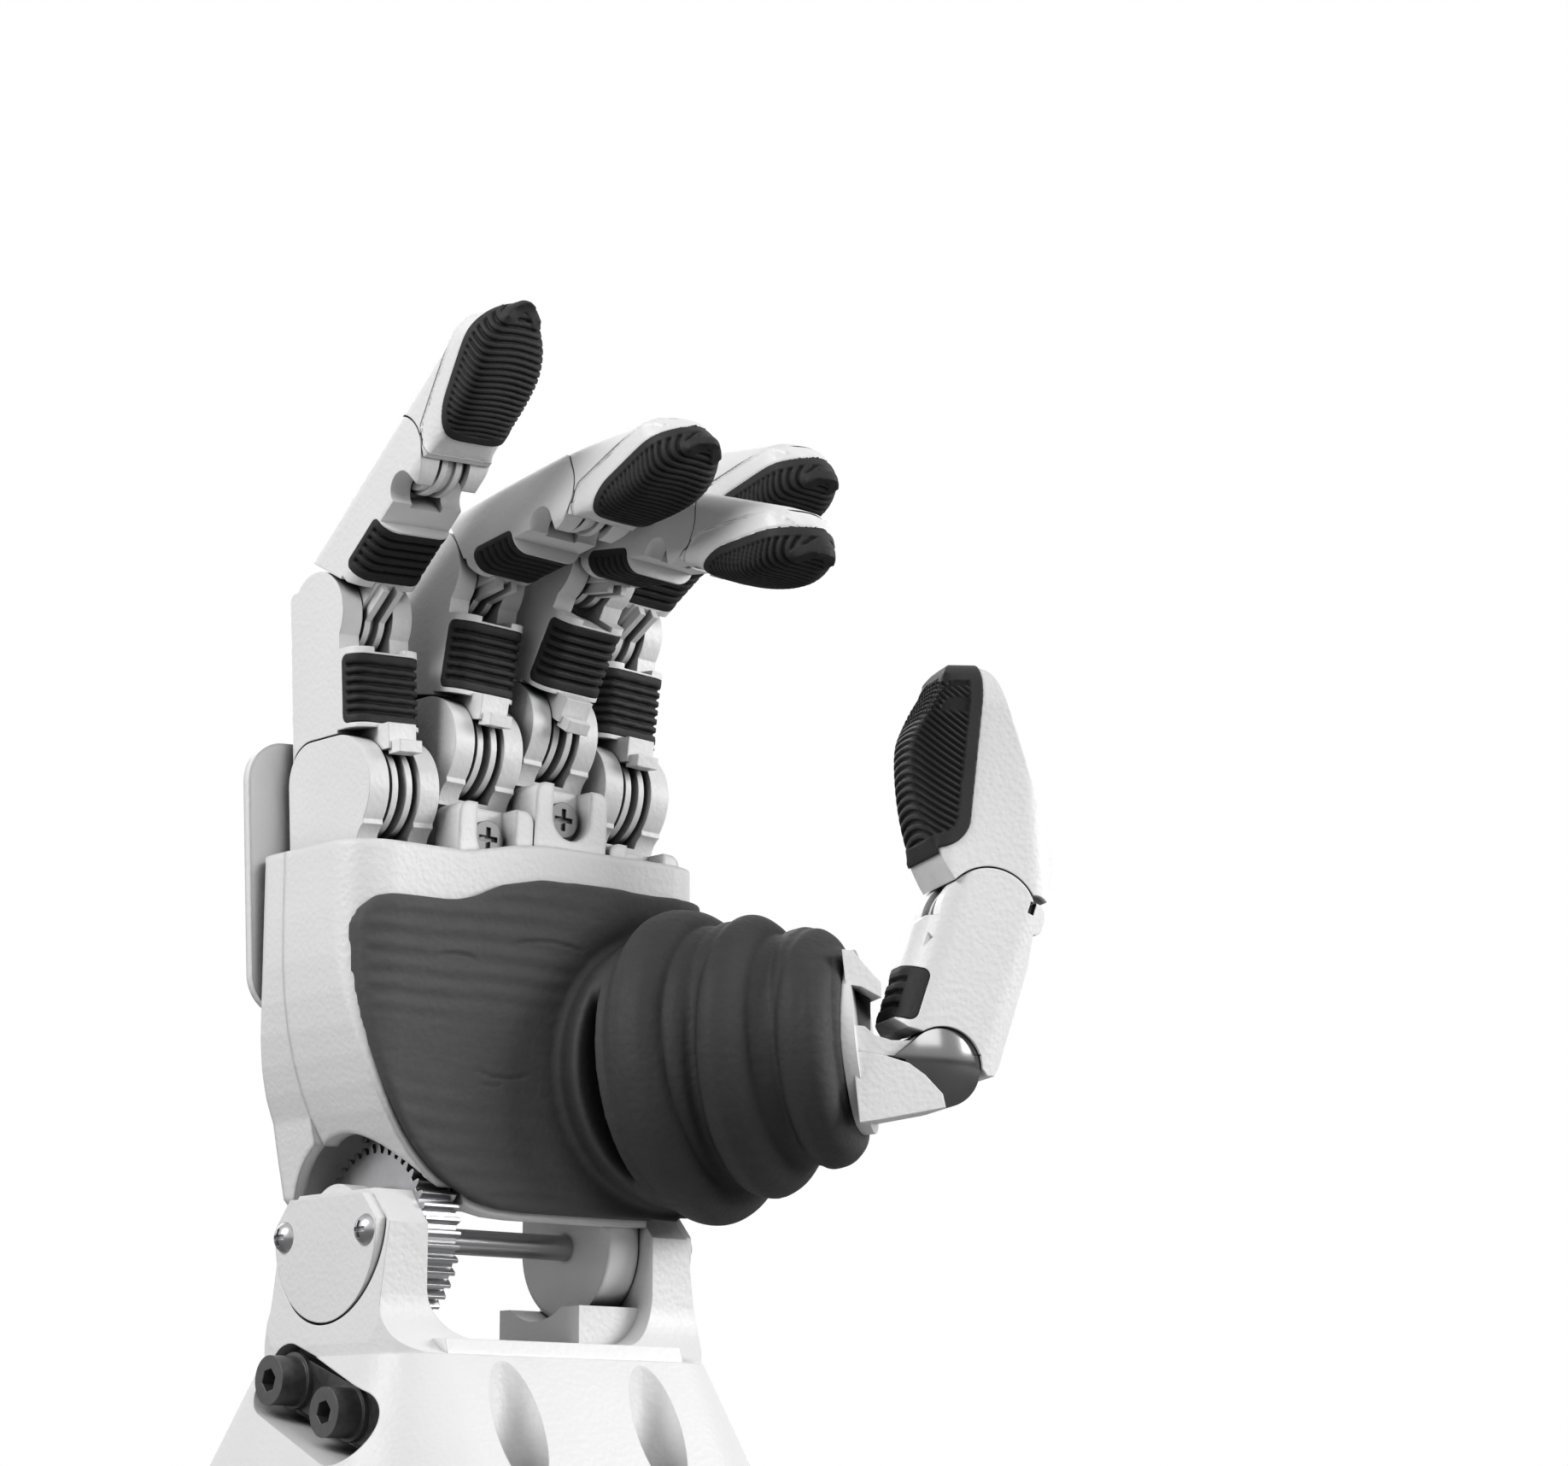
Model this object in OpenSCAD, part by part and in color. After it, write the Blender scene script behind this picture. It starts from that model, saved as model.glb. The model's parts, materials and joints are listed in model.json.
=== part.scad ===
// Dexterous five-finger robot hand (right hand) on a forked wrist base.
// +Z points from the wrist to the fingertips, +X to the thumb side, -Y out of the palm.
// The origin is the centre of the base's bolting face. The wrist turns about an axis along X.

/* [Forearm base] */
// Height of the wrist axis above the bolting face
wrist_z = 58; // [54:0.5:64]
// Width of the base across the arms, at the shoulder
shoulder_w = 78; // [74:1:84]
// Depth of the base at the shoulder, palm side to back
shoulder_d = 54; // [50:1:60]
// Height of the shoulder above the bolting face
shoulder_z = 35; // [33:0.5:37]
// How far each side flares out between the shoulder and the bolting face
base_flare = 16.6; // [12:0.2:18]
// Gap between the two arms of the fork
fork_gap = 54; // [54:0.5:56]
// Thickness of each fork arm
arm_t = 8.5; // [7:0.25:9]
// Half depth of a fork arm at the wrist axis
arm_r = 18; // [17:0.25:18.5]
// Height of the fork's saddle above the bolting face
saddle_z = 38; // [36:0.5:38.5]
// Spacing of the mounting bolts across the hand
bolt_x = 33; // [30:0.5:36]
// Spacing of the mounting bolts from palm side to back
bolt_y = 66; // [64:0.5:68]
// Radius of each mounting bolt hole
bolt_r = 2.75; // [2.2:0.05:3]
// Radius of the central cable passage
cable_r = 7; // [4:0.5:8]

/* [Wrist drive] */
// Tooth size of the wrist gears (module)
gear_m = 0.8; // [0.8:0.05:0.85]
// Teeth of the fixed wrist gear
gear_teeth = 42; // [40:2:42]
// Teeth of the motor's pinion
pinion_teeth = 14; // [12:1:15]
// Face width of the wrist gears
gear_w = 8; // [6:0.5:9]
// Radius of the wrist shaft
shaft_r = 2.5; // [2:0.1:3]

/* [Palm] */
// Width of the palm housing
palm_w = 86; // [84:0.5:88]
// Depth of the palm housing, without the skin
palm_d = 37.5; // [36:0.25:39]
// Height of the palm's top edge above the wrist axis
palm_h = 74; // [73:0.5:75.5]
// Wall thickness of the palm housing
palm_wall = 2.6; // [2:0.1:3.5]
// Thickness of the palm skin
skin_t = 2.4; // [1.5:0.1:3]

/* [Fingers] */
// Width of a finger
finger_w = 16.4; // [15.6:0.2:16.8]
// Radius of the knuckle drum
drum_r = 10.5; // [10:0.1:10.8]
// Depth of a finger behind its knuckle axis
finger_back = 18.5; // [18:0.25:19]
// Depth of a finger's first link in front of its knuckle axis
finger_front = 6.5; // [6:0.25:7]
// Depth of a finger's middle link in front of its middle axis
middle_front = 3.6; // [3.2:0.1:4]
// Radius of the middle joint's cheeks
pip_r = 8.8; // [8.4:0.1:9]
// Radius of the end joint's cheeks
dip_r = 7.6; // [7.4:0.1:7.8]
// Distance from the middle joint's axis to the finger's back
middle_back = 12.4; // [12:0.1:12.8]
// Length from the knuckle joint to the middle joint, along the link
proximal_len = 35.2; // [34:0.2:38]
// Length from the middle joint to the end joint, along the link
middle_len = 38.2; // [37:0.2:41]
// Length from the end joint to the fingertip
tip_len = 40; // [38:0.5:43]
// Width of the slot that each joint's tongue turns in
slot_w = 7.2; // [6.8:0.1:7.6]
// Radius of the joint pins
pin_r = 2; // [1.6:0.1:2.4]
// Thickness of the finger pads
pad_t = 1.6; // [1.2:0.1:2]
// Distance from a finger's sideways pivot up to its knuckle joint
pivot_drop = 18.5; // [18:0.25:19]
// Spacing of the knuckles across the hand
finger_pitch = 18.5; // [18.2:0.1:19.5]
// Height of the little finger's knuckle joint above the palm's top edge
little_rise = 12; // [11.4:0.1:12.6]
// Height of the ring finger's knuckle joint above the palm's top edge
ring_rise = 22; // [21.4:0.1:22.6]
// Height of the middle finger's knuckle joint above the palm's top edge
middle_rise = 28; // [27.4:0.1:28.6]
// Height of the index finger's knuckle joint above the palm's top edge
index_rise = 17.7; // [17.1:0.1:18.3]

/* [Rest pose] */
// Little finger: bend of the knuckle, middle and end joints
little_bend = [0, 54, 0]; // [0:1:90]
// Ring finger: bend of the knuckle, middle and end joints
ring_bend = [10, 73, 4]; // [0:1:90]
// Middle finger: bend of the knuckle, middle and end joints
middle_bend = [30, 68, 10]; // [0:1:90]
// Index finger: bend of the knuckle, middle and end joints
index_bend = [5, 55, 37]; // [0:1:90]

/* [Thumb] */
// Diameter of the round collar plate at the end of the bellows
collar_d = 36; // [34:0.5:38]
// Width of the thumb links
thumb_w = 19; // [18:0.25:20]
// Depth of the thumb's proximal link
thumb_d = 25; // [24:0.25:26]
// Length from the thumb's first knuckle to its end joint
thumb_proximal_len = 31; // [30:0.5:33]
// Length from the thumb's end joint to its tip
thumb_tip_len = 52; // [50:0.5:54]

/* [Fits] */
// Running clearance of pins and shafts, on the radius
run_fit = 0.05; // [0.03:0.01:0.1]
// Clearance between faces that move past each other
gap = 0.35; // [0.3:0.05:0.5]
// Clearance round parts that are set in a recess
seat = 0.05; // [0.03:0.01:0.1]

/* [Hidden] */
$fn = 64;

// Colours
white = "whitesmoke";
rubber = "#4a4a4c";
dark = "#2b2b2d";
steel = "silver";

// Places of the fingers, in the order little, ring, middle, index
bend = [little_bend, ring_bend, middle_bend, index_bend];
rise = [little_rise, ring_rise, middle_rise, index_rise];
lean = [-3, 2, 3, 3];
hand_offset = -0.5;
palm_top = wrist_z + palm_h;

function finger_x(i) = (i - 1.5) * finger_pitch + hand_offset;
function pivot_z(i) = palm_top + rise[i] - pivot_drop;

// Finger link shapes
knuckle_back = finger_back - 1.5;
pip_back = finger_back - middle_back;
dip_y = middle_back - dip_r;
tongue_w = slot_w - 2 * gap;
rib_t = 1.4;
hub_r = 6;
tongue_clear = 0.8;
pad_low = 12.4;
pad_high = 26;
shelf_z = 27.4;
pin_len = finger_w - 2.4;

// Fork, covers and adjuster
arm_in = fork_gap / 2;
arm_out = arm_in + arm_t;
ledge = 0.4;
boss_r = 9.5;
boss_deep = 5;
cover_t = 2.5;
screw_r = 1.4;
lug_r = 14;
lug_w = 7.4;
lug_x = arm_in - gap - lug_w / 2;
slot_long = 43;
slot_wide = 13.6;
slot_floor = -34;
slot_bolts = [-5.4, 14.2];
adjust_r = 2.5;
rail_t = 3;

// Wrist drive
gear_r = gear_m * gear_teeth / 2;
pinion_r = gear_m * pinion_teeth / 2;
tooth_h = 0.85 * gear_m;
backlash = 0.12;
pinion_z = wrist_z + gear_r + pinion_r;
motor_x = -13;
motor_len = 32;
motor_r = 9;
motor_shaft_r = 1.5;
motor_reach = 13.4;

// Palm
palm_left = -palm_w / 2 - 1;
palm_right = palm_w / 2 - 1;
palm_front = -16.5;
palm_back = palm_front + palm_d;
seam_y = 8;
floor_z = wrist_z + 8;
ear_front = finger_back + 0.9;
ear_back = palm_back + 0.4;

// Thumb
root_x = 29;
root_z = 92;
mount_r = 27;
root_bore = 21;
start_heading = -75;
end_heading = -49;
bellows_len = 44;
rise_per_mm = 0.1;
collar_t = 2.8;
bracket_z = 7.5;
thumb_bend = [-18.5, 21.4];
thumb_heading = -114;
knuckle_at = [57.1, -65.1, 90];
swing_at = [31.4, -24.6, 93];
yoke_heading = -66;
yoke_len = 14;
yoke_r = 6;
yoke_hub_r = 6.5;
cheek_y = 5.6;
cheek_t = 2.8;
thumb_hub_r = 7.6;
thumb_dome_r = 9.8;
thumb_front = 12.4;
thumb_corner = 7.5;
thumb_pad_low = 6.6;
thumb_pad_high = 17.2;
// the rounded lip over the pad, and the small ear at the end joint's back, as (Y, Z)
lip_at = [-8, 21.8];
lip_r = 4.9;
ear_at = [9, 3.4];
ear_r = 3;
web_inset = 1.2;
cap_deep = 2.2;

// ---------------------------------------------------------------- shared shapes

// A rectangle with rounded corners, centred
module rounded(w, d, r) {
    square([w - 2 * r, d], center = true);
    square([w, d - 2 * r], center = true);
    for (x = [-1, 1], y = [-1, 1])
        translate([x * (w / 2 - r), y * (d / 2 - r)])
            circle(r);
}

// Extrudes a profile drawn as (Y, Z) along X, centred
module along_x(w) {
    rotate([90, 0, 90])
        linear_extrude(w, center = true)
            children();
}

// Extrudes a profile drawn as (X, Z) along Y, centred
module along_y(d) {
    rotate([90, 0, 0])
        linear_extrude(d, center = true)
            children();
}

// A cylinder along X, centred
module rod_x(r, w) {
    rotate([0, 90, 0])
        cylinder(r = r, h = w, center = true);
}

// A cylinder along Y, centred
module rod_y(r, d) {
    rotate([90, 0, 0])
        cylinder(r = r, h = d, center = true);
}

// A box given by its low and high corners
module block(low, high) {
    translate(low)
        cube(high - low);
}

// ---------------------------------------------------------------- frames of the joints

module at_pivot(i) {
    translate([finger_x(i), 0, pivot_z(i)])
        rotate([0, lean[i], 0])
            children();
}

module at_knuckle(i) {
    at_pivot(i)
        translate([0, 0, pivot_drop])
            children();
}

module at_proximal(i) {
    at_knuckle(i)
        rotate([bend[i][0], 0, 0])
            children();
}

module at_middle(i) {
    at_proximal(i)
        translate([0, pip_back, proximal_len])
            rotate([bend[i][1], 0, 0])
                children();
}

module at_distal(i) {
    at_middle(i)
        translate([0, dip_y, middle_len])
            rotate([bend[i][2], 0, 0])
                children();
}

// ---------------------------------------------------------------- finger pieces

// Side outline of the knuckle: round in front, a rounded corner at the back
module knuckle_side() {
    corner_r = 8;
    neck_y = 5.6;
    neck_z = pivot_drop - 6.5;
    circle(drum_r);
    translate([0, drum_r - corner_r])
        square([knuckle_back - corner_r, corner_r]);
    translate([0, -neck_z])
        square([knuckle_back, neck_z + drum_r - corner_r]);
    translate([knuckle_back - corner_r, drum_r - corner_r])
        circle(corner_r);
    difference() {
        translate([-neck_y - 2.4, -neck_z])
            square([neck_y + 2.4, neck_z - 5]);
        translate([-neck_y - 4.9, -neck_z])
            circle(4.9);
    }
}

module knuckle(i) {
    boss_w = 9;
    boss_r = 5.6;
    color(white)
        at_knuckle(i)
            difference() {
                union() {
                    along_x(finger_w)
                        knuckle_side();
                    translate([0, (knuckle_back - 5.6) / 2, -pivot_drop])
                        rod_y(boss_r, knuckle_back + 5.6);
                    translate([0, (knuckle_back - 5.6) / 2, -pivot_drop + boss_r])
                        cube([boss_w, knuckle_back + 5.6, 2 * boss_r], center = true);
                }
                // slot for the link's tongue, with the tendons' mouth below it
                rod_x(drum_r - 0.5, slot_w);
                translate([-slot_w / 2, -drum_r - 1, -drum_r])
                    cube([slot_w, drum_r + 1, 2 * drum_r + 1]);
                translate([-slot_w / 2, 0, 0])
                    cube([slot_w, drum_r - 1, drum_r + 1]);
                rod_x(pin_r, pin_len);
                translate([0, 0, -pivot_drop])
                    rod_y(pin_r, 60);
            }
}

module axle(i) {
    color(steel)
        at_knuckle(i)
            rod_x(pin_r - run_fit, pin_len - 0.2);
}

// A tongue with a pulley: a hub between two ribs that carry the tendon, and a stem up to the link
module tongue(r, stem_front, stem_back, stem_top) {
    rod_x(hub_r, tongue_w);
    block([-tongue_w / 2, stem_front + 2, 0], [tongue_w / 2, stem_back, stem_top]);
    for (side = [-1, 1])
        translate([side * (tongue_w / 2 - 0.9 - rib_t / 2), 0, 0]) {
            rod_x(r, rib_t);
            block([-rib_t / 2, stem_front, 0], [rib_t / 2, stem_back, stem_top]);
        }
}

// Cross-section of a link, seen from its end
module link_section(back, front) {
    back_r = 4.5;
    front_r = 3.6;
    difference() {
        translate([0, (back - front) / 2])
            rounded(finger_w, back + front, front_r);
        for (side = [-1, 1])
            translate([side * (finger_w / 2 - back_r), back - back_r])
                difference() {
                    translate([side > 0 ? 0 : -back_r - 1, 0])
                        square([back_r + 1, back_r + 1]);
                    circle(back_r);
                }
    }
}

// Side outline of the first link
module proximal_side() {
    crown_r = 6;
    low_z = drum_r + 1;
    waist_y = pip_back - pip_r + 1.4;
    difference() {
        union() {
            translate([pip_back, proximal_len])
                circle(pip_r);
            translate([finger_back - crown_r, proximal_len])
                circle(crown_r);
            translate([pip_back, 3])
                square([finger_back - pip_back, proximal_len - 3]);
            translate([waist_y, shelf_z - 1])
                square([pip_r, proximal_len - shelf_z]);
            translate([-finger_front, low_z])
                square([finger_front + pip_back, shelf_z - low_z]);
            translate([0, 3])
                square([pip_back, low_z - 2]);
        }
        // clearance round the knuckle
        circle(drum_r + gap);
        translate([0, drum_r - 8])
            square([knuckle_back - 8, 8 + gap]);
        translate([knuckle_back - 8, drum_r - 8])
            circle(8 + gap);
        translate([-drum_r, -20])
            square([knuckle_back + drum_r + gap, 20 + drum_r - 8]);
    }
}

module proximal(i) {
    color(white)
        at_proximal(i)
            difference() {
                union() {
                    difference() {
                        intersection() {
                            along_x(finger_w)
                                proximal_side();
                            linear_extrude(60)
                                link_section(finger_back, finger_front);
                        }
                        // slot for the middle link's tongue
                        translate([-slot_w / 2, -finger_front - 1, proximal_len - pip_r])
                            cube([slot_w, finger_back + finger_front + 2, 2 * pip_r]);
                        translate([0, pip_back, proximal_len])
                            rod_x(pip_r + 0.3, slot_w);
                    }
                    // tongue that hangs into the knuckle's slot
                    tongue(drum_r - tongue_clear, -5, 8, drum_r + 3);
                    tendon_hook();
                }
                // recess of the pad
                pad_band(finger_w, finger_front, pad_low, pad_high, pad_t, 0);
                rod_x(pin_r, finger_w);
                translate([0, pip_back, proximal_len])
                    rod_x(pin_r, pin_len);
            }
}

// Block at the foot of the first link that ends the tendon, with its small square hook
module tendon_hook() {
    block([-tongue_w / 2, -drum_r + 0.4, drum_r - 3.6], [tongue_w / 2, -3, drum_r + 1.5]);
    block([-2.6, -drum_r - 2.4, drum_r - 4.6], [2.6, -drum_r + 1.4, drum_r - 2.2]);
}

// The band of a link's front that a pad covers: as deep as the pad is thick, round three sides
module pad_band(w, front, low, high, depth, play) {
    wrap = 4.6;
    difference() {
        translate([0, 0, (low + high) / 2])
            intersection() {
                along_y(80)
                    square([w + 10, high - low - 2 * play], center = true);
                along_x(w + 10)
                    translate([-front + wrap - 10, 0])
                        rounded(20, high - low - 2 * play, 1.6);
            }
        translate([0, 0, low - 1])
            linear_extrude(high - low + 2)
                pad_core(w, front, depth - play);
    }
}

// What stays of a link's section behind its pad
module pad_core(w, front, depth) {
    core_r = 2.8;
    translate([0, 20 - front + depth])
        rounded(w - 2 * depth, 40, core_r);
}

module proximal_pad(i) {
    color(rubber)
        at_proximal(i)
            link_pad(finger_front, pad_low, pad_high, finger_back);
}

module link_pad(front, low, high, back) {
    intersection() {
        pad_band(finger_w, front, low + seat, high - seat, pad_t - seat, 0);
        linear_extrude(60)
            link_section(back, front);
    }
}

// Side outline of the middle link
module middle_side() {
    edge_slope = 26;
    step_y = 2.6;
    notch_r = 3.4;
    step_z = shelf_z + 4.6;
    difference() {
        union() {
            translate([dip_y, middle_len])
                circle(dip_r);
            translate([dip_y, 0])
                square([dip_r, middle_len]);
            translate([-middle_front, 0])
                square([middle_front + dip_y + 1, shelf_z - 1]);
            translate([-middle_front + step_y, 0])
                square([6, step_z]);
        }
        // the lower edge clears the first link's cheeks
        rotate(-edge_slope)
            translate([-40, -40])
                square([80, 40 + pip_r + gap]);
        translate([-40, -40])
            square([40, 40 + pad_low - 1.4]);
        // hollow above the step, below the end joint's cheeks
        translate([-middle_front + step_y, step_z + notch_r - 0.4])
            circle(notch_r);
    }
}

module middle(i) {
    color(white)
        at_middle(i)
            difference() {
                union() {
                    difference() {
                        intersection() {
                            along_x(finger_w)
                                middle_side();
                            linear_extrude(60)
                                link_section(middle_back, middle_front);
                        }
                        translate([-slot_w / 2, -middle_front - 1, middle_len - dip_r])
                            cube([slot_w, middle_back + middle_front + 2, 2 * dip_r]);
                        translate([0, dip_y, middle_len])
                            rod_x(dip_r + 0.3, slot_w);
                    }
                    tongue(pip_r - tongue_clear, -hub_r, 5, pip_r + 5);
                }
                pad_band(finger_w, middle_front, pad_low + 1, pad_high, pad_t, 0);
                rod_x(pin_r, finger_w);
                translate([0, dip_y, middle_len])
                    rod_x(pin_r, pin_len);
            }
}

module middle_pins(i) {
    color(steel)
        at_middle(i) {
            rod_x(pin_r - run_fit, pin_len - 0.2);
            translate([0, dip_y, middle_len])
                rod_x(pin_r - run_fit, pin_len - 0.2);
        }
}

module middle_pad(i) {
    color(rubber)
        at_middle(i)
            link_pad(middle_front, pad_low + 1, pad_high, middle_back);
}

// The fingertip's envelope: a bowed side outline round a pointed dome
module tip_form(grow) {
    front = 7.8;
    front_bow = 34;
    dome_h = 23;
    dome_z = tip_len - dome_h;
    dome_r = finger_w / 2 + 3;
    dome_bow = 30;
    intersection() {
        union() {
            translate([0, 0, 2])
                linear_extrude(dome_z - 2)
                    link_section(dip_r + grow, front + grow);
            translate([0, 0, dome_z])
                intersection() {
                    linear_extrude(30)
                        link_section(dip_r + grow, front + grow);
                    rotate_extrude()
                        polygon(concat(
                            [[0, 0]],
                            [for (k = [0 : 9])
                                let (z = k * (dome_h - 0.5) / 9)
                                    [dome_r - dome_bow + sqrt(pow(dome_bow + grow, 2) - z * z), z]],
                            [[0, dome_h + grow]]
                        ));
                }
        }
        along_x(finger_w + 10)
            union() {
                translate([front_bow - front, tip_len * 0.4])
                    circle(front_bow + grow);
                translate([0, -10])
                    square([20, 70]);
            }
    }
}

// The slanted region of a fingertip that the pad takes: its edge's place and height, its lower end and slope
module tip_pad_zone(edge_y, foot_z, low_z, slope, play) {
    foot_r = 7;
    along_x(finger_w + 14)
        difference() {
            translate([-30, low_z + play])
                square([60, 60]);
            translate([edge_y - play, foot_z])
                rotate(-slope)
                    translate([0, -foot_z - 20])
                        square([40, 110]);
            difference() {
                translate([edge_y - play - foot_r, -20])
                    square([40, 20 + foot_z]);
                translate([edge_y - play - foot_r, foot_z])
                    circle(foot_r);
            }
        }
}

module distal(i) {
    color(white)
        at_distal(i)
            difference() {
                union() {
                    difference() {
                        tip_form(0);
                        // hollow edge round the middle link's cheeks
                        rod_x(dip_r + gap, finger_w + 4);
                        block([-finger_w, -20, -10], [finger_w, 20, 2.5]);
                    }
                    tongue(dip_r - tongue_clear, -5, 6, dip_r + 3);
                }
                tip_pad_zone(1, 13.5, 6.4, 20, 0);
                rod_x(pin_r, finger_w);
            }
}

module tip_pad(i) {
    color(rubber)
        at_distal(i)
            difference() {
                intersection() {
                    tip_form(0.4);
                    tip_pad_zone(1, 13.5, 6.4, 20, seat);
                }
                rod_x(dip_r + gap, finger_w + 4);
            }
}

// ---------------------------------------------------------------- forearm base

// Flared foot: four corner cones joined by sloping walls
module flared_foot() {
    corner = 12;
    cx = shoulder_w / 2 - corner;
    cy = shoulder_d / 2 - corner;
    low_r = corner + base_flare;
    for (x = [-cx, cx], y = [-cy, cy])
        translate([x, y, 0])
            cylinder(r1 = low_r, r2 = corner, h = shoulder_z);
    along_y(2 * cy)
        wall_slope(cx, low_r, corner);
    along_x(2 * cx)
        wall_slope(cy, low_r, corner);
}

// Trapezoid between the foot's lower and upper edges
module wall_slope(half, low_r, high_r) {
    polygon([
        [-half - low_r, 0], [half + low_r, 0],
        [half + high_r, shoulder_z], [-half - high_r, shoulder_z]
    ]);
}

// Side outline of a fork arm about the wrist axis, as (Y, Z)
module arm_side() {
    straight = 12;
    spread = shoulder_d / 2 - ledge - arm_r;
    drop = wrist_z - straight - shoulder_z;
    flare_r = (spread * spread + drop * drop) / (2 * spread);
    difference() {
        union() {
            polygon([
                [-arm_r, -straight], [-arm_r, 1.5], [-12.5, 8],
                [12.5, 8], [arm_r, 1.5], [arm_r, -straight]
            ]);
            translate([-shoulder_d / 2 + ledge, -straight - drop - 1])
                square([shoulder_d - 2 * ledge, drop + 1]);
        }
        for (side = [-1, 1])
            translate([side * (arm_r + flare_r), -straight])
                circle(flare_r);
    }
}

// Front outline of the radial fork arm with the fillet to the saddle, as (X, Z)
module arm_front() {
    fillet_r = 10;
    polygon([
        [arm_in, shoulder_z - 1], [shoulder_w / 2, shoulder_z - 1], [arm_out, wrist_z + 4],
        [arm_out, wrist_z + 12], [arm_in, wrist_z + 12]
    ]);
    difference() {
        translate([arm_in - fillet_r, shoulder_z - 1])
            square([fillet_r, saddle_z + fillet_r - shoulder_z + 1]);
        translate([arm_in - fillet_r, saddle_z + fillet_r])
            circle(fillet_r);
    }
}

module arm() {
    intersection() {
        translate([0, 0, wrist_z])
            along_x(2 * shoulder_w)
                arm_side();
        along_y(2 * shoulder_d)
            arm_front();
        linear_extrude(2 * wrist_z)
            rounded(shoulder_w - 2 * ledge, shoulder_d - 2 * ledge, 12 - ledge);
    }
    translate([arm_out - boss_deep / 2, 0, wrist_z])
        rod_x(boss_r, boss_deep);
}

// Outline of the cover on each arm's bearing, as (Y, Z)
module cover_side(grow) {
    intersection() {
        circle(16.6 + grow);
        polygon([
            [-17 - grow, -20], [-17 - grow, 1.5], [-12 - grow, 7 + grow],
            [12 + grow, 7 + grow], [17 + grow, 1.5], [17 + grow, -20]
        ]);
    }
}

// Frame of the slanted slot in the ulnar side
module at_slot() {
    translate([0, -4, 26.3])
        rotate([19, 0, 0])
            children();
}

// A bar with round ends that lies in the slot, from one X to another
module slot_bar(length, width, low, high) {
    translate([(low + high) / 2, 0, 0])
        along_x(high - low) {
            square([length - width, width], center = true);
            for (side = [-1, 1])
                translate([side * (length - width) / 2, 0])
                    circle(width / 2);
        }
}

module forearm_fork() {
    pocket_r = 5.6;
    pocket_floor = 8;
    color(white)
        difference() {
            union() {
                flared_foot();
                along_x(fork_gap + 2)
                    polygon([
                        [-shoulder_d / 2 + ledge, shoulder_z - 1], [shoulder_d / 2 - ledge, shoulder_z - 1],
                        [shoulder_d / 2 - 1.6, saddle_z], [-shoulder_d / 2 + 1.6, saddle_z]
                    ]);
                arm();
                mirror([1, 0, 0])
                    arm();
                // inner block with the cradle below the palm's lug
                block([12, -14, shoulder_z], [arm_in + 1, 11.5, wrist_z - 12]);
            }
            translate([12 + 7.5, 0, wrist_z])
                rod_x(lug_r + 0.6, 15.01);
            translate([-arm_in + 4.25, 0, wrist_z])
                rod_x(gear_r + tooth_h + 0.4, 8.5);
            translate([0, 0, wrist_z])
                rod_x(shaft_r + run_fit, 2 * shoulder_w);
            // recesses of the covers
            for (side = [-1, 1])
                translate([side * (arm_out + 3), 0, wrist_z])
                    along_x(6)
                        cover_side(0.5);
            at_screws()
                cylinder(r = screw_r, h = 7);
            // mounting bolts with their screwdriver pockets
            for (x = [-1, 1], y = [-1, 1])
                translate([x * bolt_x / 2, y * bolt_y / 2, 0]) {
                    translate([0, 0, -1])
                        cylinder(r = bolt_r, h = pocket_floor + 2);
                    translate([0, 0, pocket_floor])
                        cylinder(r = pocket_r, h = shoulder_z);
                }
            translate([0, 0, -1])
                cylinder(r = cable_r, h = saddle_z + 2);
            // slot of the adjuster, with the tapped holes of its bolts
            at_slot() {
                slot_bar(slot_long, slot_wide, -60, slot_floor);
                for (y = slot_bolts)
                    translate([slot_floor + 5, y, 0])
                        rod_x(adjust_r, 10.2);
            }
        }
}

// Places of the four cover screws, with +Z into the arm
module at_screws() {
    for (side = [-1, 1], y = [-13.4, 13.4])
        translate([side * arm_out, y, wrist_z])
            rotate([0, -side * 90, 0])
                children();
}

module bearing_covers() {
    color(white)
        difference() {
            for (side = [-1, 1])
                translate([side * (arm_out + cover_t / 2), 0, wrist_z])
                    along_x(cover_t)
                        cover_side(0);
            at_screws()
                cylinder(r = screw_r, h = 2 * cover_t + 1, center = true);
        }
}

module cover_screws() {
    head_r = 3;
    head_h = 1.9;
    ball_r = (head_r * head_r + head_h * head_h) / (2 * head_h);
    color(steel)
        at_screws()
            difference() {
                union() {
                    translate([0, 0, -cover_t])
                        cylinder(r = screw_r, h = cover_t + 6);
                    intersection() {
                        translate([0, 0, ball_r - head_h - cover_t])
                            sphere(ball_r);
                        translate([0, 0, -cover_t - head_h - 1])
                            cylinder(r = head_r + 1, h = head_h + 1);
                    }
                }
                for (a = [0, 90])
                    rotate(a)
                        translate([0, 0, -cover_t - head_h])
                            cube([3.2, 0.8, 2.2], center = true);
            }
}

module adjuster_bolts() {
    head_r = 4.65;
    washer_t = 1;
    head_h = 5.4;
    color(dark)
        at_slot()
            for (y = slot_bolts)
                translate([slot_floor - rail_t, y, 0])
                    rotate([0, -90, 0])
                        difference() {
                            union() {
                                cylinder(r = 5.4, h = washer_t);
                                cylinder(r = head_r, h = washer_t + head_h);
                                translate([0, 0, -rail_t - 9])
                                    cylinder(r = adjust_r, h = rail_t + 10);
                            }
                            translate([0, 0, washer_t + head_h - 3])
                                cylinder(r = 2.3, h = 4, $fn = 6);
                        }
}

module adjuster_rail() {
    color(dark)
        at_slot()
            difference() {
                slot_bar(slot_long - 7, slot_wide - 4, slot_floor - rail_t, slot_floor);
                for (y = slot_bolts)
                    translate([slot_floor, y, 0])
                        rod_x(adjust_r, 10);
            }
}

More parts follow.
